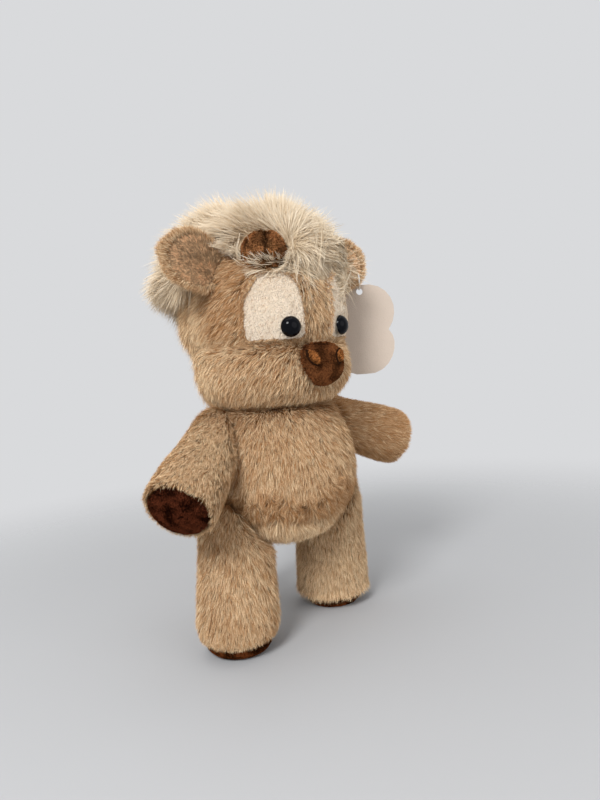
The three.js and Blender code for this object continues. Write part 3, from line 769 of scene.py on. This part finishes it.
class PLUSH_OT_body(bpy.types.Operator):
    """Body of four panels, stuffed, with fur combed down and ruffled over the lower belly"""
    bl_idname = "plush.body"
    bl_label = "Body"

    def execute(self, context):
        sizes = context.scene.plush_sizes
        cloth, fur = fur_finishes()
        nodes = [*TORSO, "body_stuffing"]
        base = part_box("body_stuffing")[0].z
        limbs = solids_of(*LIMBS)
        blockers = solids_of("muzzle_skin", *LIMBS, "tail_cord")

        def seams(points):
            ahead = np.abs(points[:, 0] - AXIS[0]) < 3 * MM
            beside = np.abs(points[:, 1] - AXIS[1]) < 3 * MM
            return ahead | beside | (points[:, 2] > AXIS[2] - 6 * MM)

        form = stuffed("body_plush", nodes, inset=2, seams=seams, levels=0)
        dressed(form, "body", "tan_fur", cloth, *nodes)

        def height(points):
            """Above the foot of the body, along wavy lines"""
            return points[:, 2] - base + 3 * MM * ripple(points, 0.03, 70)

        def ahead(points):
            return smoothstep(0.025, 0.005, points[:, 1] - AXIS[1])

        def ruffle(points):
            """1 in the band of rough fur over the lower belly, where the fur tone is darkened as painted shade
            """
            low = height(points)
            return smoothstep(0.014, 0.021, low) * (1 - smoothstep(0.03, 0.044, low)) * ahead(points)

        def skirt(points):
            """1 in the longer, paler fur under that band"""
            return (1 - smoothstep(0.012, 0.02, height(points))) * ahead(points)

        def collar(points):
            """1 close under the neck, where the fur tone is darkened a little as painted shade under the head
            """
            return smoothstep(0.014, 0.003, AXIS[2] - points[:, 2])

        def comb(points, normals):
            swirl = ruffle(points) * 1.1 * ripple(points, 0.012, 71)
            swirl = swirl + skirt(points) * 0.7 * ripple(points, 0.02, 74)
            across = points[:, 0] - AXIS[0]
            seam = 0.15 * np.sign(across) * np.exp(-(across / 0.004) ** 2) * (points[:, 1] < AXIS[1])
            down = np.tile((0.0, 0.0, -1.0), (len(points), 1)) + normals * (0.1, 0.1, 0)
            down[:, 0] += seam
            side = np.cross(normals, unit(down))
            return down * np.cos(swirl)[:, None] + side * np.sin(swirl)[:, None]

        def tone(points):
            # Painted shade: the fur is darker in the creases beside the limbs
            crease_shade = towards(points, SHADED_CREASE, *limbs)[0]
            return (0.45 - 0.4 * ruffle(points) + 0.34 * skirt(points) - 0.1 * collar(points) - 0.4 * crease_shade
                    + 0.08 * ripple(points, 0.04, 72))

        def long(points):
            return sizes.pile * (1 - 0.15 * ruffle(points) + 0.3 * skirt(points))

        def lift(points):
            return LIFT + 26 * ruffle(points) + 14 * skirt(points) + 8 * collar(points)

        for half, facing, seed in (("front", -1, 11), ("back", 1, 12)):
            def room(points, normals, facing=facing):
                here = (points[:, 1] - AXIS[1]) * facing
                clear = 0.5 * MM - depth_in(points, *blockers)
                return np.minimum.reduce((here, AXIS[2] - 1 * MM - points[:, 2], clear))

            coat = pile(f"body_fur_{half}", form, long, comb, seed=seed, tone=tone, room=room, lift=lift)
            dressed(coat, "body", "tan_fur", fur)
        return {"FINISHED"}


class PLUSH_OT_head(bpy.types.Operator):
    """Head and muzzle, sewn together under the eyes"""
    bl_idname = "plush.head"
    bl_label = "Head"

    def execute(self, context):
        sizes = context.scene.plush_sizes
        cloth, fur = fur_finishes()

        def seams(points):
            ring = np.abs(points[:, 2] - SEAM_Z) < 3 * MM
            return (ring & (points[:, 1] < AXIS[1] + 0.03)) | (points[:, 2] < AXIS[2] + 4 * MM)

        whole = stuffed("head_plush", ("head_skin", "muzzle_skin", "head_stuffing"), inset=2, seams=seams)
        points, normals = points_of(whole.data), normals_of(whole.data)
        pinch = np.exp(-((points[:, 2] - SEAM_Z) / 0.0035) ** 2)
        pinch = pinch * smoothstep(0.035, 0.0, points[:, 1] - AXIS[1])
        move_points(whole.data, points - normals * (2.2 * MM * pinch)[:, None])
        lower = whole.copy()
        lower.data = whole.data.copy()
        lower.name = lower.data.name = "muzzle_plush"
        context.scene.collection.objects.link(lower)
        cut_at(whole, SEAM_Z, "clear_inner")
        cut_at(lower, SEAM_Z, "clear_outer")
        dressed(whole, "head", "tan_fur", cloth, "head_skin", "head_stuffing")
        dressed(lower, "head", "tan_fur", cloth, "muzzle_skin")
        nose, mop = solids_of("nose_pad", "hair_mop")
        patches = solids_of(*PATCHES)
        face = [*patches, nose, *solids_of(*HORNS)]

        def rear(points):
            """1 on the back of the head, where the fur is long"""
            return smoothstep(0.008, 0.036, points[:, 1] - AXIS[1])

        def hem(points):
            """1 on the seam between head and muzzle"""
            ring = np.exp(-((points[:, 2] - SEAM_Z) / 0.005) ** 2)
            return ring * smoothstep(0.03, 0.0, points[:, 1] - AXIS[1])

        def comb(points, normals):
            close, way = towards(points, 0.006, nose, *patches)
            flow = np.tile((0, 0.6, -0.75), (len(points), 1))
            flow[:, 0] = 0.7 * normals[:, 0]
            return flow + way * (1.3 * smoothstep(0, 0.6, close))[:, None]

        def long(points):
            trim = 1 - 0.5 * smoothstep(0, 1, towards(points, 0.007, nose)[0])
            trim = trim - 0.15 * smoothstep(0, 1, towards(points, 0.006, *patches)[0])
            return sizes.pile * 0.95 * trim + (sizes.back_pile - sizes.pile) * rear(points)

        def tone(points):
            # Painted shade: the cheeks below the ear and the hair are darker
            cheek_shade = smoothstep(30, 50, np.abs(turn_of(points))) * smoothstep(0, 0.012, points[:, 2] - SEAM_Z)
            pale = smoothstep(-0.01, 0.012, points[:, 1] - AXIS[1])
            return (0.48 + 0.42 * pale - 0.18 * hem(points) - 0.38 * cheek_shade * (1 - pale)
                    + 0.07 * ripple(points, 0.04, 73))

        def upper(points, normals):
            brow = np.where(np.abs(turn_of(points)) < 76, hairline(points) + 4 * MM - points[:, 2], 1)
            return np.minimum.reduce((points[:, 2] - SEAM_Z - 0.4 * MM, -0.3 * MM - depth_in(points, *face),
                                      -0.5 * MM - depth_in(points, mop), brow))

        def lift(points):
            return (34 + 14 * rear(points) + 20 * towards(points, 0.005, nose)[0]
                    + 12 * towards(points, 0.005, *patches)[0])

        coat = pile("head_fur", whole, long, comb, seed=21, tone=tone, room=upper, lift=lift)
        dressed(coat, "head", "tan_fur", fur)

        def chin(points, normals):
            away = unit(points - NOSE) * (1, 0.4, 1)
            return away * 0.55 + (0, 0.15, -0.85) + hem(points)[:, None] * (0, 0, 1.2)

        def below(points, normals):
            return np.minimum.reduce((SEAM_Z - 0.2 * MM - points[:, 2], points[:, 2] - AXIS[2] - 1 * MM,
                                      -0.3 * MM - depth_in(points, *face)))

        def trimmed(points):
            return long(points) * (1.05 - 0.35 * hem(points))

        coat = pile("muzzle_fur", lower, trimmed, chin, seed=22, tone=tone, room=below,
                    lift=lambda points: 38 + 30 * hem(points))
        dressed(coat, "head", "tan_fur", fur)
        return {"FINISHED"}


class PLUSH_OT_face(bpy.types.Operator):
    """Eye patches, eyes, nose and embroidered nostrils"""
    bl_idname = "plush.face"
    bl_label = "Face"

    def execute(self, context):
        tint = context.scene.plush_colours
        pale, pale_nap = short_finishes("pale", tint.patch, contrast=0.16, gain=1.0)
        brown, brown_nap = short_finishes("nose", tint.nose, contrast=1.5)
        gloss = shader("eye_gloss", roughness=0.06, Base_Color=(0.001, 0.0013, 0.003, 1),
                       Specular_IOR_Level=0.12)[0]
        for side in SIDES:
            patch = rounded(f"eye_patch_{side}_cloth", f"eye_patch_{side}", voxel=1.1, smooth=4)
            dressed(patch, "head", "pale_short_pile", pale, f"eye_patch_{side}")
            eye = frame["nodes"][f"eye_{side}"]

            def room(points, normals):
                return np.minimum((0.2 - normals[:, 1]) * MM, 0.2 * MM - depth_in(points, eye))

            coat = nap(f"eye_patch_{side}_nap", patch, density=7, seed=31, tall=1.9 * MM, lift=24,
                       brushed=0.1, room=room)
            dressed(coat, "head", "pale_short_pile", pale_nap)
            self.edging(side, patch, eye)
            self.eye(side, gloss)
        pad = stuffed("nose_plush", ("nose_pad",), voxel=1.3, inset=0.8, smooth=8, levels=0)
        dressed(pad, "head", "nose_pile", brown, "nose_pad")
        coat = nap("nose_nap", pad, density=12, seed=32, tall=1.9 * MM, room=lambda p, n: 0.3 - n[:, 1],
                   tone=lambda p: 0.5 + 0.45 * ripple(p, 0.009, 37))
        dressed(coat, "head", "nose_pile", brown_nap)
        for side in SIDES:
            self.nostril(side, "stitches", grow=-1.5, push=0.5, value=tint.nostril)
            self.nostril(side, "outline", grow=0.3, push=0.3, value=scaled(tint.nose, 0.3))
        return {"FINISHED"}

    @staticmethod
    def edging(side, patch, eye):
        """Fur that grows over the sewn edge of a patch and hides its upper outer corner"""
        points = points_of(patch.data)
        turns = turn_of(points)
        low, tall = points[:, 2].min(), np.ptp(points[:, 2])
        sign = SIGN[side]
        outer = (turns * sign).max() * sign

        def room(points, normals):
            facing = (normals * unit((points - AXIS) * (1, 1, 0))).sum(1)
            share = np.abs(turn_of(points) - outer) / np.ptp(turns)
            corner = 0.62 * ((points[:, 2] - low) / tall - 0.5) - share
            clear = np.where(towards(points, 0.004, eye)[0] > 0, -1, facing + 0.2)
            return np.minimum(np.maximum(0.8 - facing, corner), clear) * 0.03

        coat = pile(f"eye_patch_{side}_edge", patch, 4.5 * MM, one_way(0.5 * sign, 0, -0.8), seed=34,
                    lift=38, tone=0.4, room=room)
        dressed(coat, "head", "tan_fur", fur_finishes()[1])

    @staticmethod
    def eye(side, gloss):
        """A domed eye with a thin flat rim, pressed onto its patch"""
        solid = points_of(frame["nodes"][f"eye_{side}"].data)
        turn = math.radians(EYE_TURN * SIGN[side])
        ahead = np.array((math.sin(turn), -math.cos(turn), 0))
        reach = (solid - AXIS) @ ahead
        dome = solid[reach > reach.max() - 4.5 * MM]
        middle = (dome.min(0) + dome.max(0)) / 2
        middle = middle + ahead * (reach.max() - (middle - AXIS) @ ahead)
        bpy.ops.object.select_all(action="DESELECT")
        bpy.ops.mesh.primitive_uv_sphere_add(segments=48, ring_count=32, radius=EYE_RADIUS)
        eye = bpy.context.object
        eye.name = eye.data.name = f"eye_{side}_dome"
        cut_at(eye, EYE_RIM, "clear_inner")
        points = points_of(eye.data)
        points[:, 2] = (points[:, 2] - EYE_RADIUS) * EYE_FLATNESS
        turned = np.array(Vector(ahead).to_track_quat("Z", "Y").to_matrix())
        move_points(eye.data, points @ turned.T + middle)
        applied(eye, "BEVEL", width=EYE_RIM, segments=3, limit_method="ANGLE")
        bpy.ops.object.shade_smooth()
        dressed(eye, "head", "eye_gloss", gloss, f"eye_{side}")

    @staticmethod
    def nostril(side, name, grow, push, value):
        """One layer of an embroidered nostril, grown in its plane and pushed forward by millimetres"""
        piece = rounded(f"nostril_{side}_{name}", f"nostril_{side}", voxel=0.45, smooth=5)
        points = points_of(piece.data)
        middle = points.mean(0)
        share = 1 + grow * MM * 2 / np.ptp(points, axis=0).max() * np.array((1, 0, 1))
        move_points(piece.data, middle + (points - middle) * share + np.array((0, -push * MM, 0)))
        finish = cloth_finish(f"nostril_{name}", scaled(value, 0.6), scaled(value, 1.2), scale=2600)
        dressed(piece, "head", "nostril_thread", finish, f"nostril_{side}")
        if name == "stitches":
            stitch = strand_finish("nostril_stitch", *(scaled(value, share) for share in (0.35, 0.5, 2.1)))
            thread = pile(f"nostril_{side}_thread", piece, 3.2 * MM, one_way(1.0, 0, 0.45), seed=33, lift=9,
                          wide=0.8 * MM, clump=0, sway=0.08, sink=0, room=lambda p, n: -0.2 - n[:, 1])
            dressed(thread, "head", "nostril_thread", stitch)


def outside(points, normals):
    """Room for hair on the outer face of its cap, clear of the horns"""
    out = unit((points - AXIS - (0, 0, 0.06)) * (1, 1, 1.2))
    return np.minimum((normals * out).sum(1) + 0.35, (-1 * MM - depth_in(points, *solids_of(*HORNS))) / MM)


def beside_ears(lines):
    """Cuts strands short that reach into an ear; also gives those that then stay clear and run evenly"""
    ear = PIVOT["ear_flap_right"]
    right_limit, left_limit, longest_step = -0.044, 0.06, 0.014
    for share in (0.65, 0.65, 0.65, 1):
        x, y, z = np.moveaxis(lines, 2, 0)
        aside = x - AXIS[0] + 0.013 * smoothstep(0.262, 0.274, z) * (x < 0)
        near = (y < ear[1] + 4 * MM) & (z < ear[2] + 22 * MM)
        reaching = (((aside < right_limit) | (aside > left_limit)) & near).any(1)
        lines[reaching] = lines[reaching, :1] + (lines[reaching] - lines[reaching, :1]) * share
    even = np.linalg.norm(np.diff(lines, axis=1), axis=2).max(1) < longest_step
    return lines, np.flatnonzero(~reaching & even)


def hair_coats(names, lines, normals, wide, tones, hair, dice):
    """Hair cut beside the ears and dealt out in turn to pieces with these names"""
    widths = wide * dice.uniform(0.6, 1.2, len(lines))
    lines, kept = beside_ears(lines)
    for number, name in enumerate(names):
        part = kept[number::len(names)]
        coat = ribbons(name, lines[part], normals[part], widths[part], tones[part], spread=0.9, dice=dice)
        dressed(coat, "head", "cream_hair", hair, "hair_mop")


class PLUSH_OT_crown(bpy.types.Operator):
    """Horns and the long hair mop round them"""
    bl_idname = "plush.crown"
    bl_label = "Horns and hair"

    def execute(self, context):
        long = context.scene.plush_sizes.hair
        brown, brown_nap = short_finishes("horn", context.scene.plush_colours.horn, contrast=1.8)
        for side in SIDES:
            self.horn(side, brown, brown_nap)
        cloth, hair = hair_finishes()
        head = bpy.data.objects["head_plush"]
        skull = tree_of(head)
        root = self.cap(skull, cloth)
        right_horn, left_horn = (tree_of(horn) for horn in solids_of(*HORNS))
        solids = [skull, tree_of(root)]
        dice = np.random.default_rng(51)
        self.crown(long, root, solids, left_horn, hair, dice)
        self.fringe(long, head, root, [*solids, right_horn], left_horn, hair, dice)
        self.wisps(hair)
        return {"FINISHED"}

    @staticmethod
    def horn(side, cloth, strands):
        """A stuffed horn with a groove down its front"""
        nodes = (f"horn_{side}", f"horn_{side}_stuffing")
        horn = stuffed(f"horn_{side}_plush", nodes, voxel=1.6, inset=0.8, smooth=6, levels=0)
        points = points_of(horn.data)
        middle = (points.min(0) + points.max(0)) / 2
        foot = points[:, 2].min()
        turn = math.radians(HORN_TURN * SIGN[side])
        beside = np.array((math.cos(turn), math.sin(turn), 0))
        groove = np.exp(-((points - middle) @ beside / (2 * MM)) ** 2) * 2 * MM
        move_points(horn.data, points - normals_of(horn.data) * groove[:, None])

        def mottle_and_shade(spots):
            # Random mottle, with painted shade in the groove down the front and towards the foot of the horn
            seam = np.exp(-((spots - middle) @ beside / (2.2 * MM)) ** 2)
            low = smoothstep(0.014, 0.004, spots[:, 2] - foot)
            return 0.7 + 0.38 * ripple(spots, 0.006, 43) - 1.1 * seam - 0.4 * low

        dressed(horn, "head", "horn_pile", cloth, *nodes)
        coat = nap(f"horn_{side}_nap", horn, density=11, seed=41, tall=2.4 * MM, tone=mottle_and_shade)
        dressed(coat, "head", "horn_pile", strands)

    @staticmethod
    def cap(skull, cloth):
        """The cloth cap under the hair, drawn in towards the head"""
        root = stuffed("hair_root", ("hair_mop",), voxel=4, inset=1, smooth=10, levels=0)
        points = points_of(root.data)
        for index, point in enumerate(points):
            place = np.array(skull.find_nearest(Vector(point))[0])
            share = 0.45 + 0.25 * float(smoothstep(0.0, 0.03, point[1] - AXIS[1]))
            points[index] = place + (point - place) * share
        move_points(root.data, points)
        dressed(root, "head", "cream_hair", cloth, "hair_mop")
        return root

    @staticmethod
    def crown(long, root, solids, covered, hair, dice):
        """Hair that stands off the cap all round the parting and hangs behind"""
        points, normals = scatter(root, STRANDS["hair_mop"], dice, outside)
        count, steps = len(points), 4
        x, y, z = (points - AXIS).T
        # Shares of lying flat on top, sweeping over the brow, standing up beyond it, hanging behind, lying low
        high = smoothstep(0.55, 0.95, normals[:, 2])
        ahead = smoothstep(-0.012, -0.04, y)
        sweep = ahead * smoothstep(0.122, 0.106, z) * smoothstep(-0.022, 0.0, x)
        low = smoothstep(0.096, 0.076, z) * (1 - ahead)
        beyond = smoothstep(0.012, 0.04, x) * smoothstep(0.1, 0.12, z)
        behind = smoothstep(0.0, 0.03, y)
        hanging = low * behind * smoothstep(-0.045, -0.012, x)
        low = low - hanging
        reach = long * dice.uniform(0.6, 1.12, count) * (1 - 0.7 * low) * (1 + 0.25 * beyond + 0.3 * hanging)
        away = unit(points - PARTING) + sweep[:, None] * (0.8, 0, -0.4)
        away = away - (0.6 * behind + hanging)[:, None] * (0, 0, 1)
        swing = 0.3 * ripple(points, 0.05, 52) + 0.3 * ripple(points, 0.016, 53) + dice.normal(0, 0.22, count)
        near = np.exp(-(np.linalg.norm(points - PARTING, axis=1) / (11 * MM)) ** 2)
        swing = swing + dice.uniform(-2.9, 2.9, count) * near
        flow = swung(laid(away, normals), normals, swing[:, None])
        rise = 42 - 12 * high - 20 * sweep - 22 * near + 16 * beyond - 10 * behind - 14 * hanging - 16 * low
        rise = np.radians(rise + 8 * ripple(points, 0.03, 54) + dice.normal(0, 9, count))[:, None]
        heading = unit(flow * np.cos(rise) + normals * np.sin(rise))
        lines = [points - normals * MM]
        for k in range(steps - 1):
            lines.append(lines[-1] + heading * reach[:, None] / (steps - 1))
            drop = (0.08 + 0.08 * k) * (1 + sweep)
            heading = unit(heading - drop[:, None] * (0, 0, 1))
        lines, own = locks(np.stack(lines, 1), points, size=24, pull=0.28, dice=dice, late=1.2, least=0.2)
        gap = np.full(count, 1.2 * MM)
        for k in range(1, steps):
            lines[:, k] = draped(lifted(lines[:, k], solids, gap), covered, gap)
        tones = 0.52 - 0.35 * low + dice.normal(0, 0.07, count)[own] + dice.normal(0, 0.14, count)
        hair_coats(("hair_mop_1", "hair_mop_2"), lines, normals, 0.38 * MM, tones, hair, dice)

    @staticmethod
    def fringe(long, head, root, solids, covered, hair, dice):
        """Hair over the brow, combed to both sides of the right horn and across to the left"""
        faced = solids_of(*HORNS, *PATCHES)

        def brow(points, normals):
            return np.minimum.reduce((
                points[:, 2] - hairline(points), 0.4 * MM - depth_in(points, *faced),
                -0.3 * MM - depth_in(points, root), (78 - np.abs(turn_of(points))) * MM))

        def forelock(points, normals):
            turn = turn_of(points)
            return np.minimum.reduce((
                (turn + 14) * MM, (62 - turn) * MM, 0.128 + AXIS[2] - points[:, 2],
                outside(points, normals) * MM, AXIS[1] - 0.022 - points[:, 1]))

        under, under_normals = scatter(head, STRANDS["hair_brow"], dice, brow)
        over, over_normals = scatter(root, STRANDS["hair_forelock"], dice, forelock)
        points, normals = np.concatenate((under, over)), np.concatenate((under_normals, over_normals))
        count, steps = len(points), 6
        turn, above = turn_of(points), points[:, 2] - AXIS[2]
        back = (dice.random(count) < smoothstep(4, -12, turn) * 0.85) & (above < 0.1)
        left = np.where(back, 0, smoothstep(-20, 0, turn))
        reach = long * (0.6 + 0.75 * left) * (1 - 0.4 * smoothstep(22, 48, turn))
        reach = reach * dice.uniform(0.6, 1.1, count)
        flow = unit(points - PARTING) * (1 - left)[:, None] + left[:, None] * (0.85, 0, -0.3)
        flow[back] = (-0.95, 0, -0.12)
        flow[back & (above > 0.087)] = (-0.95, 0, 0.12)
        swing = (0.25 * ripple(points, 0.014, 55) + dice.normal(0, 0.16, count))[:, None]
        heading = unit(swung(laid(flow, normals), normals, swing) + 0.3 * normals)
        height = (2.6 + 3.4 * dice.random(count) ** 2) * MM
        lines = [points - normals * MM]
        for k in range(steps - 1):
            off = height * min(0.45 + 0.3 * k, 1)
            ahead = lines[-1] + heading * reach[:, None] / (steps - 1)
            lines.append(draped(lifted(ahead, solids, off), covered, off))
            heading = unit(lines[-1] - lines[-2])
            radial = unit((lines[-1] - AXIS) * (1, 1, 0))
            heading = heading - radial * 0.8 * np.maximum((heading * radial).sum(1, keepdims=True), 0)
            heading = unit(heading + (0, 0, -0.06))
        lines, own = locks(np.stack(lines, 1), points, size=20, pull=0.3, dice=dice, late=1.2, least=0.2)
        tones = 0.5 + dice.normal(0, 0.12, count)[own] + dice.normal(0, 0.18, count)
        hair_coats(("hair_mop_3",), lines, normals, 0.42 * MM, tones, hair, dice)

    @staticmethod
    def wisps(hair):
        """Loose strands across the foot of the right horn"""
        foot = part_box("horn_right")[0].z

        def stray(points, normals):
            return np.minimum.reduce((
                foot + 7 * MM - points[:, 2], (-0.3 - normals[:, 1]) * MM, (turn_of(points) + 48) * MM))

        horn = bpy.data.objects["horn_right_plush"]
        coat = pile("hair_wisps", horn, 12 * MM, one_way(-0.8, 0, 0.1), seed=56, lift=18, wide=0.32 * MM,
                    clump=5, pull=0.2, sway=0.7, steps=4, room=stray, sink=0)
        dressed(coat, "head", "cream_hair", hair)


class PLUSH_OT_ears(bpy.types.Operator):
    """Cupped ears, furry behind and short-piled inside"""
    bl_idname = "plush.ears"
    bl_label = "Ears"

    def execute(self, context):
        sizes, tint = context.scene.plush_sizes, context.scene.plush_colours
        cloth, fur = fur_finishes()
        inner, inner_nap = short_finishes("lining", tint.lining, contrast=1.5, gain=2.1)
        head = frame["nodes"]["head_skin"]
        for side in SIDES:
            ear = f"ear_{side}"
            pivot = PIVOT[f"ear_flap_{side}"]
            low, high = (np.array(corner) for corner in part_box(f"ear_{side}_lining"))

            def comb(points, normals):
                return unit(points - pivot) + (0, 0.2, 0)

            def clear(points, normals):
                return -0.5 * MM - depth_in(points, head)

            def rim(points):
                """0 in the middle of the ear, 1 at its edge"""
                share = (points - (low + high) / 2) / (high - low) * 2
                return np.hypot(share[:, 0], share[:, 2])

            def mottle_and_shade(points):
                # Random mottle, with painted shade darkening the hollow near the root of the ear
                deep = 1 - smoothstep(0.012, 0.03, np.linalg.norm(points - pivot, axis=1))
                return 0.58 + 0.3 * ripple(points, 0.009, 63) + 0.45 * ripple(points, 0.0032, 65) - 0.4 * deep

            back = stuffed(f"{ear}_outside", (f"{ear}_back",), voxel=1.5, inset=0.6, smooth=4, levels=0)
            dressed(back, ear, "tan_fur", cloth, f"{ear}_back")
            coat = pile(f"{ear}_fur", back, sizes.pile * 0.75, comb, seed=61, room=clear, lift=26)
            dressed(coat, ear, "tan_fur", fur)
            front = stuffed(f"{ear}_inside", (f"{ear}_lining",), voxel=1.3, inset=0.5, smooth=4, levels=0)
            dressed(front, ear, "ear_lining_pile", inner, f"{ear}_lining")
            coat = pile(f"{ear}_nap", front, 4 * MM, comb, seed=62, lift=28, wide=0.34 * MM, clump=18,
                        tone=mottle_and_shade, room=lambda p, n: np.minimum(clear(p, n), (0.92 - rim(p)) * 0.02))
            dressed(coat, ear, "ear_lining_pile", inner_nap)
            coat = pile(f"{ear}_rim", front, sizes.pile * 0.7, comb, seed=64, lift=40, tone=0.6,
                        room=lambda p, n: np.minimum(clear(p, n), (rim(p) - 0.8) * 0.02))
            dressed(coat, ear, "tan_fur", fur)
        return {"FINISHED"}


def limb(side, part, end, axis, seed, end_slot, end_finishes, shade, flat=0, hang=0.6):
    """One arm or leg: stuffed, furry, with a short-pile pad or sole at its end"""
    sizes = bpy.context.scene.plush_sizes
    cloth, fur = fur_finishes()
    body = f"{part}_{side}"
    names = (f"{body}_skin", f"{body}_stuffing")
    torso, pad = solids_of(*TORSO), frame["nodes"][f"{body}_{end}"]
    base = points_of(pad.data)
    mouth = base.mean(0)
    rim = ((base - mouth) @ axis).min()

    def seams(points):
        return np.abs((points - mouth) @ axis) < 4 * MM

    form = stuffed(f"{body}_plush", names, inset=2, seams=seams, levels=0)
    dressed(form, body, "tan_fur", cloth, *names)

    def inward(points):
        """Distance from the rim of the pad, back along the limb"""
        return rim - (points - mouth) @ axis

    def room(points, normals):
        return np.minimum.reduce((-0.2 * MM - depth_in(points, *torso), 0.2 * MM - depth_in(points, pad),
                                  (0.75 - normals @ axis) * 2 * MM, points[:, 2] - 11.5 * MM))

    def long(points):
        return sizes.pile * (hang + (1 - hang) * smoothstep(0, 0.016, inward(points)))

    def comb(points, normals):
        return np.tile(axis, (len(points), 1)) + 0.12 * normals

    # The shade argument is this limb's fur tone: raised as painted light on the right arm and the left leg,
    # lowered as painted shade on the left arm
    def tone(points):
        # Painted shade: the fur is darker in the crease next to the torso
        crease_shade = towards(points, SHADED_CREASE, *torso)[0]
        return shade - 0.4 * crease_shade + 0.08 * ripple(points, 0.04, seed + 7)

    coat = pile(f"{body}_fur", form, long, comb, seed=seed, room=room, tone=tone,
                lift=lambda points: LIFT - flat + 30 * smoothstep(0.01, 0.001, inward(points)))
    dressed(coat, body, "tan_fur", fur)
    tip = rounded(f"{body}_{end}_cloth", f"{body}_{end}", voxel=1.2, smooth=6)
    dressed(tip, body, end_slot, end_finishes[0], f"{body}_{end}")
    coat = nap(f"{body}_{end}_nap", tip, density=6, seed=seed + 3, tall=1.8 * MM, brushed=0.6,
               room=lambda p, n: np.minimum((n @ axis + 0.3) * MM, p[:, 2] - 1.2 * MM))
    dressed(coat, body, end_slot, end_finishes[1])


class PLUSH_OT_arms(bpy.types.Operator):
    """Arms with dark paw pads"""
    bl_idname = "plush.arms"
    bl_label = "Arms"

    def execute(self, context):
        ends = short_finishes("paw", context.scene.plush_colours.paw, contrast=2.4)
        # Each arm's second number is its fur tone: the right arm's is raised as painted light, the left arm's
        # lowered as painted shade
        reaches = {"right": ((-0.71, -0.46, -0.51), 0.72), "left": ((0.93, -0.12, -0.34), 0.1)}
        for side, (axis, shade) in reaches.items():
            limb(side, "arm", "pad", unit(np.array(axis)), seed=81, end_slot="paw_pile", end_finishes=ends,
                 flat=12, shade=shade)
        return {"FINISHED"}


class PLUSH_OT_legs(bpy.types.Operator):
    """Legs with brown domed soles"""
    bl_idname = "plush.legs"
    bl_label = "Legs"

    def execute(self, context):
        ends = short_finishes("sole", context.scene.plush_colours.sole, contrast=2.2)
        # The left leg's fur tone is raised as painted light over the shade it stands in
        for side, hang, shade in (("right", 0.45, 0.46), ("left", 0.95, 0.72)):
            limb(side, "leg", "sole", np.array((0, 0, -1.0)), seed=91, end_slot="sole_pile",
                 end_finishes=ends, hang=hang, shade=shade)
        return {"FINISHED"}


class PLUSH_OT_tail(bpy.types.Operator):
    """Tail with its tuft"""
    bl_idname = "plush.tail"
    bl_label = "Tail"

    def execute(self, context):
        sizes = context.scene.plush_sizes
        cloth, fur = fur_finishes()
        cream, hair = hair_finishes()
        comb = one_way(0, 0.1, -1.0)
        torso = solids_of("body_back_right", "body_back_left")
        cord = stuffed("tail_plush", ("tail_cord",), voxel=1.6, inset=0.8)
        dressed(cord, "tail", "tan_fur", cloth, "tail_cord")
        coat = pile("tail_fur", cord, sizes.pile * 0.8, comb, seed=95, lift=26,
                    room=lambda p, n: -0.5 * MM - depth_in(p, *torso))
        dressed(coat, "tail", "tan_fur", fur)
        tuft = stuffed("tail_tuft_core", ("tail_tuft",), voxel=1.8, inset=3)
        dressed(tuft, "tail", "cream_hair", cream, "tail_tuft")
        coat = pile("tail_tuft_hair", tuft, sizes.pile * 1.9, comb, seed=96, lift=20, steps=4)
        dressed(coat, "tail", "cream_hair", hair)
        return {"FINISHED"}


class PLUSH_OT_tag(bpy.types.Operator):
    """Plain card tag on its plastic loop, and the lock washers behind the eyes"""
    bl_idname = "plush.tag"
    bl_label = "Hang tag"

    def execute(self, context):
        tint = context.scene.plush_colours
        card = cloth_finish("tag_card", scaled(tint.card, 0.94), scaled(tint.card, 1.04), scale=1500)
        loop = shader("loop_plastic", roughness=0.3, Base_Color=(0.78, 0.77, 0.74, 1))[0]
        washer = shader("washer_plastic", roughness=0.5, Base_Color=(0.7, 0.7, 0.68, 1))[0]
        finishes = {"tag_card": card, "tag_loop": loop, "eye_washer_right": washer, "eye_washer_left": washer}
        for name, finish in finishes.items():
            solid = frame["nodes"][name]
            solid.data.materials.clear()
            solid.data.materials.append(finish)
        return {"FINISHED"}


class PLUSH_PT_panel(bpy.types.Panel):
    """Lists the steps that dress the toy"""
    bl_idname = "PLUSH_PT_panel"
    bl_label = "Plush cow"
    bl_space_type = "VIEW_3D"
    bl_region_type = "UI"
    bl_category = "Plush cow"

    def draw(self, context):
        for step in STEPS:
            self.layout.operator(step.bl_idname)
        for settings in (context.scene.plush_sizes, context.scene.plush_colours, context.scene.plush_stage):
            for key in settings.__annotations__:
                self.layout.prop(settings, key)


STEPS = (PLUSH_OT_stage, PLUSH_OT_body, PLUSH_OT_head, PLUSH_OT_face, PLUSH_OT_crown, PLUSH_OT_ears,
         PLUSH_OT_arms, PLUSH_OT_legs, PLUSH_OT_tail, PLUSH_OT_tag)
GROUPS = {"plush_sizes": PlushSizes, "plush_colours": PlushColours, "plush_stage": PlushStage}


def register():
    for cls in (*GROUPS.values(), *STEPS, PLUSH_PT_panel):
        bpy.utils.register_class(cls)
    for name, cls in GROUPS.items():
        setattr(bpy.types.Scene, name, bpy.props.PointerProperty(type=cls))


def unregister():
    for name in GROUPS:
        delattr(bpy.types.Scene, name)
    for cls in reversed((*GROUPS.values(), *STEPS, PLUSH_PT_panel)):
        bpy.utils.unregister_class(cls)


def main():
    register()
    for step in STEPS:
        family, name = step.bl_idname.split(".")
        getattr(getattr(bpy.ops, family), name)()


if __name__ == "__main__":
    main()
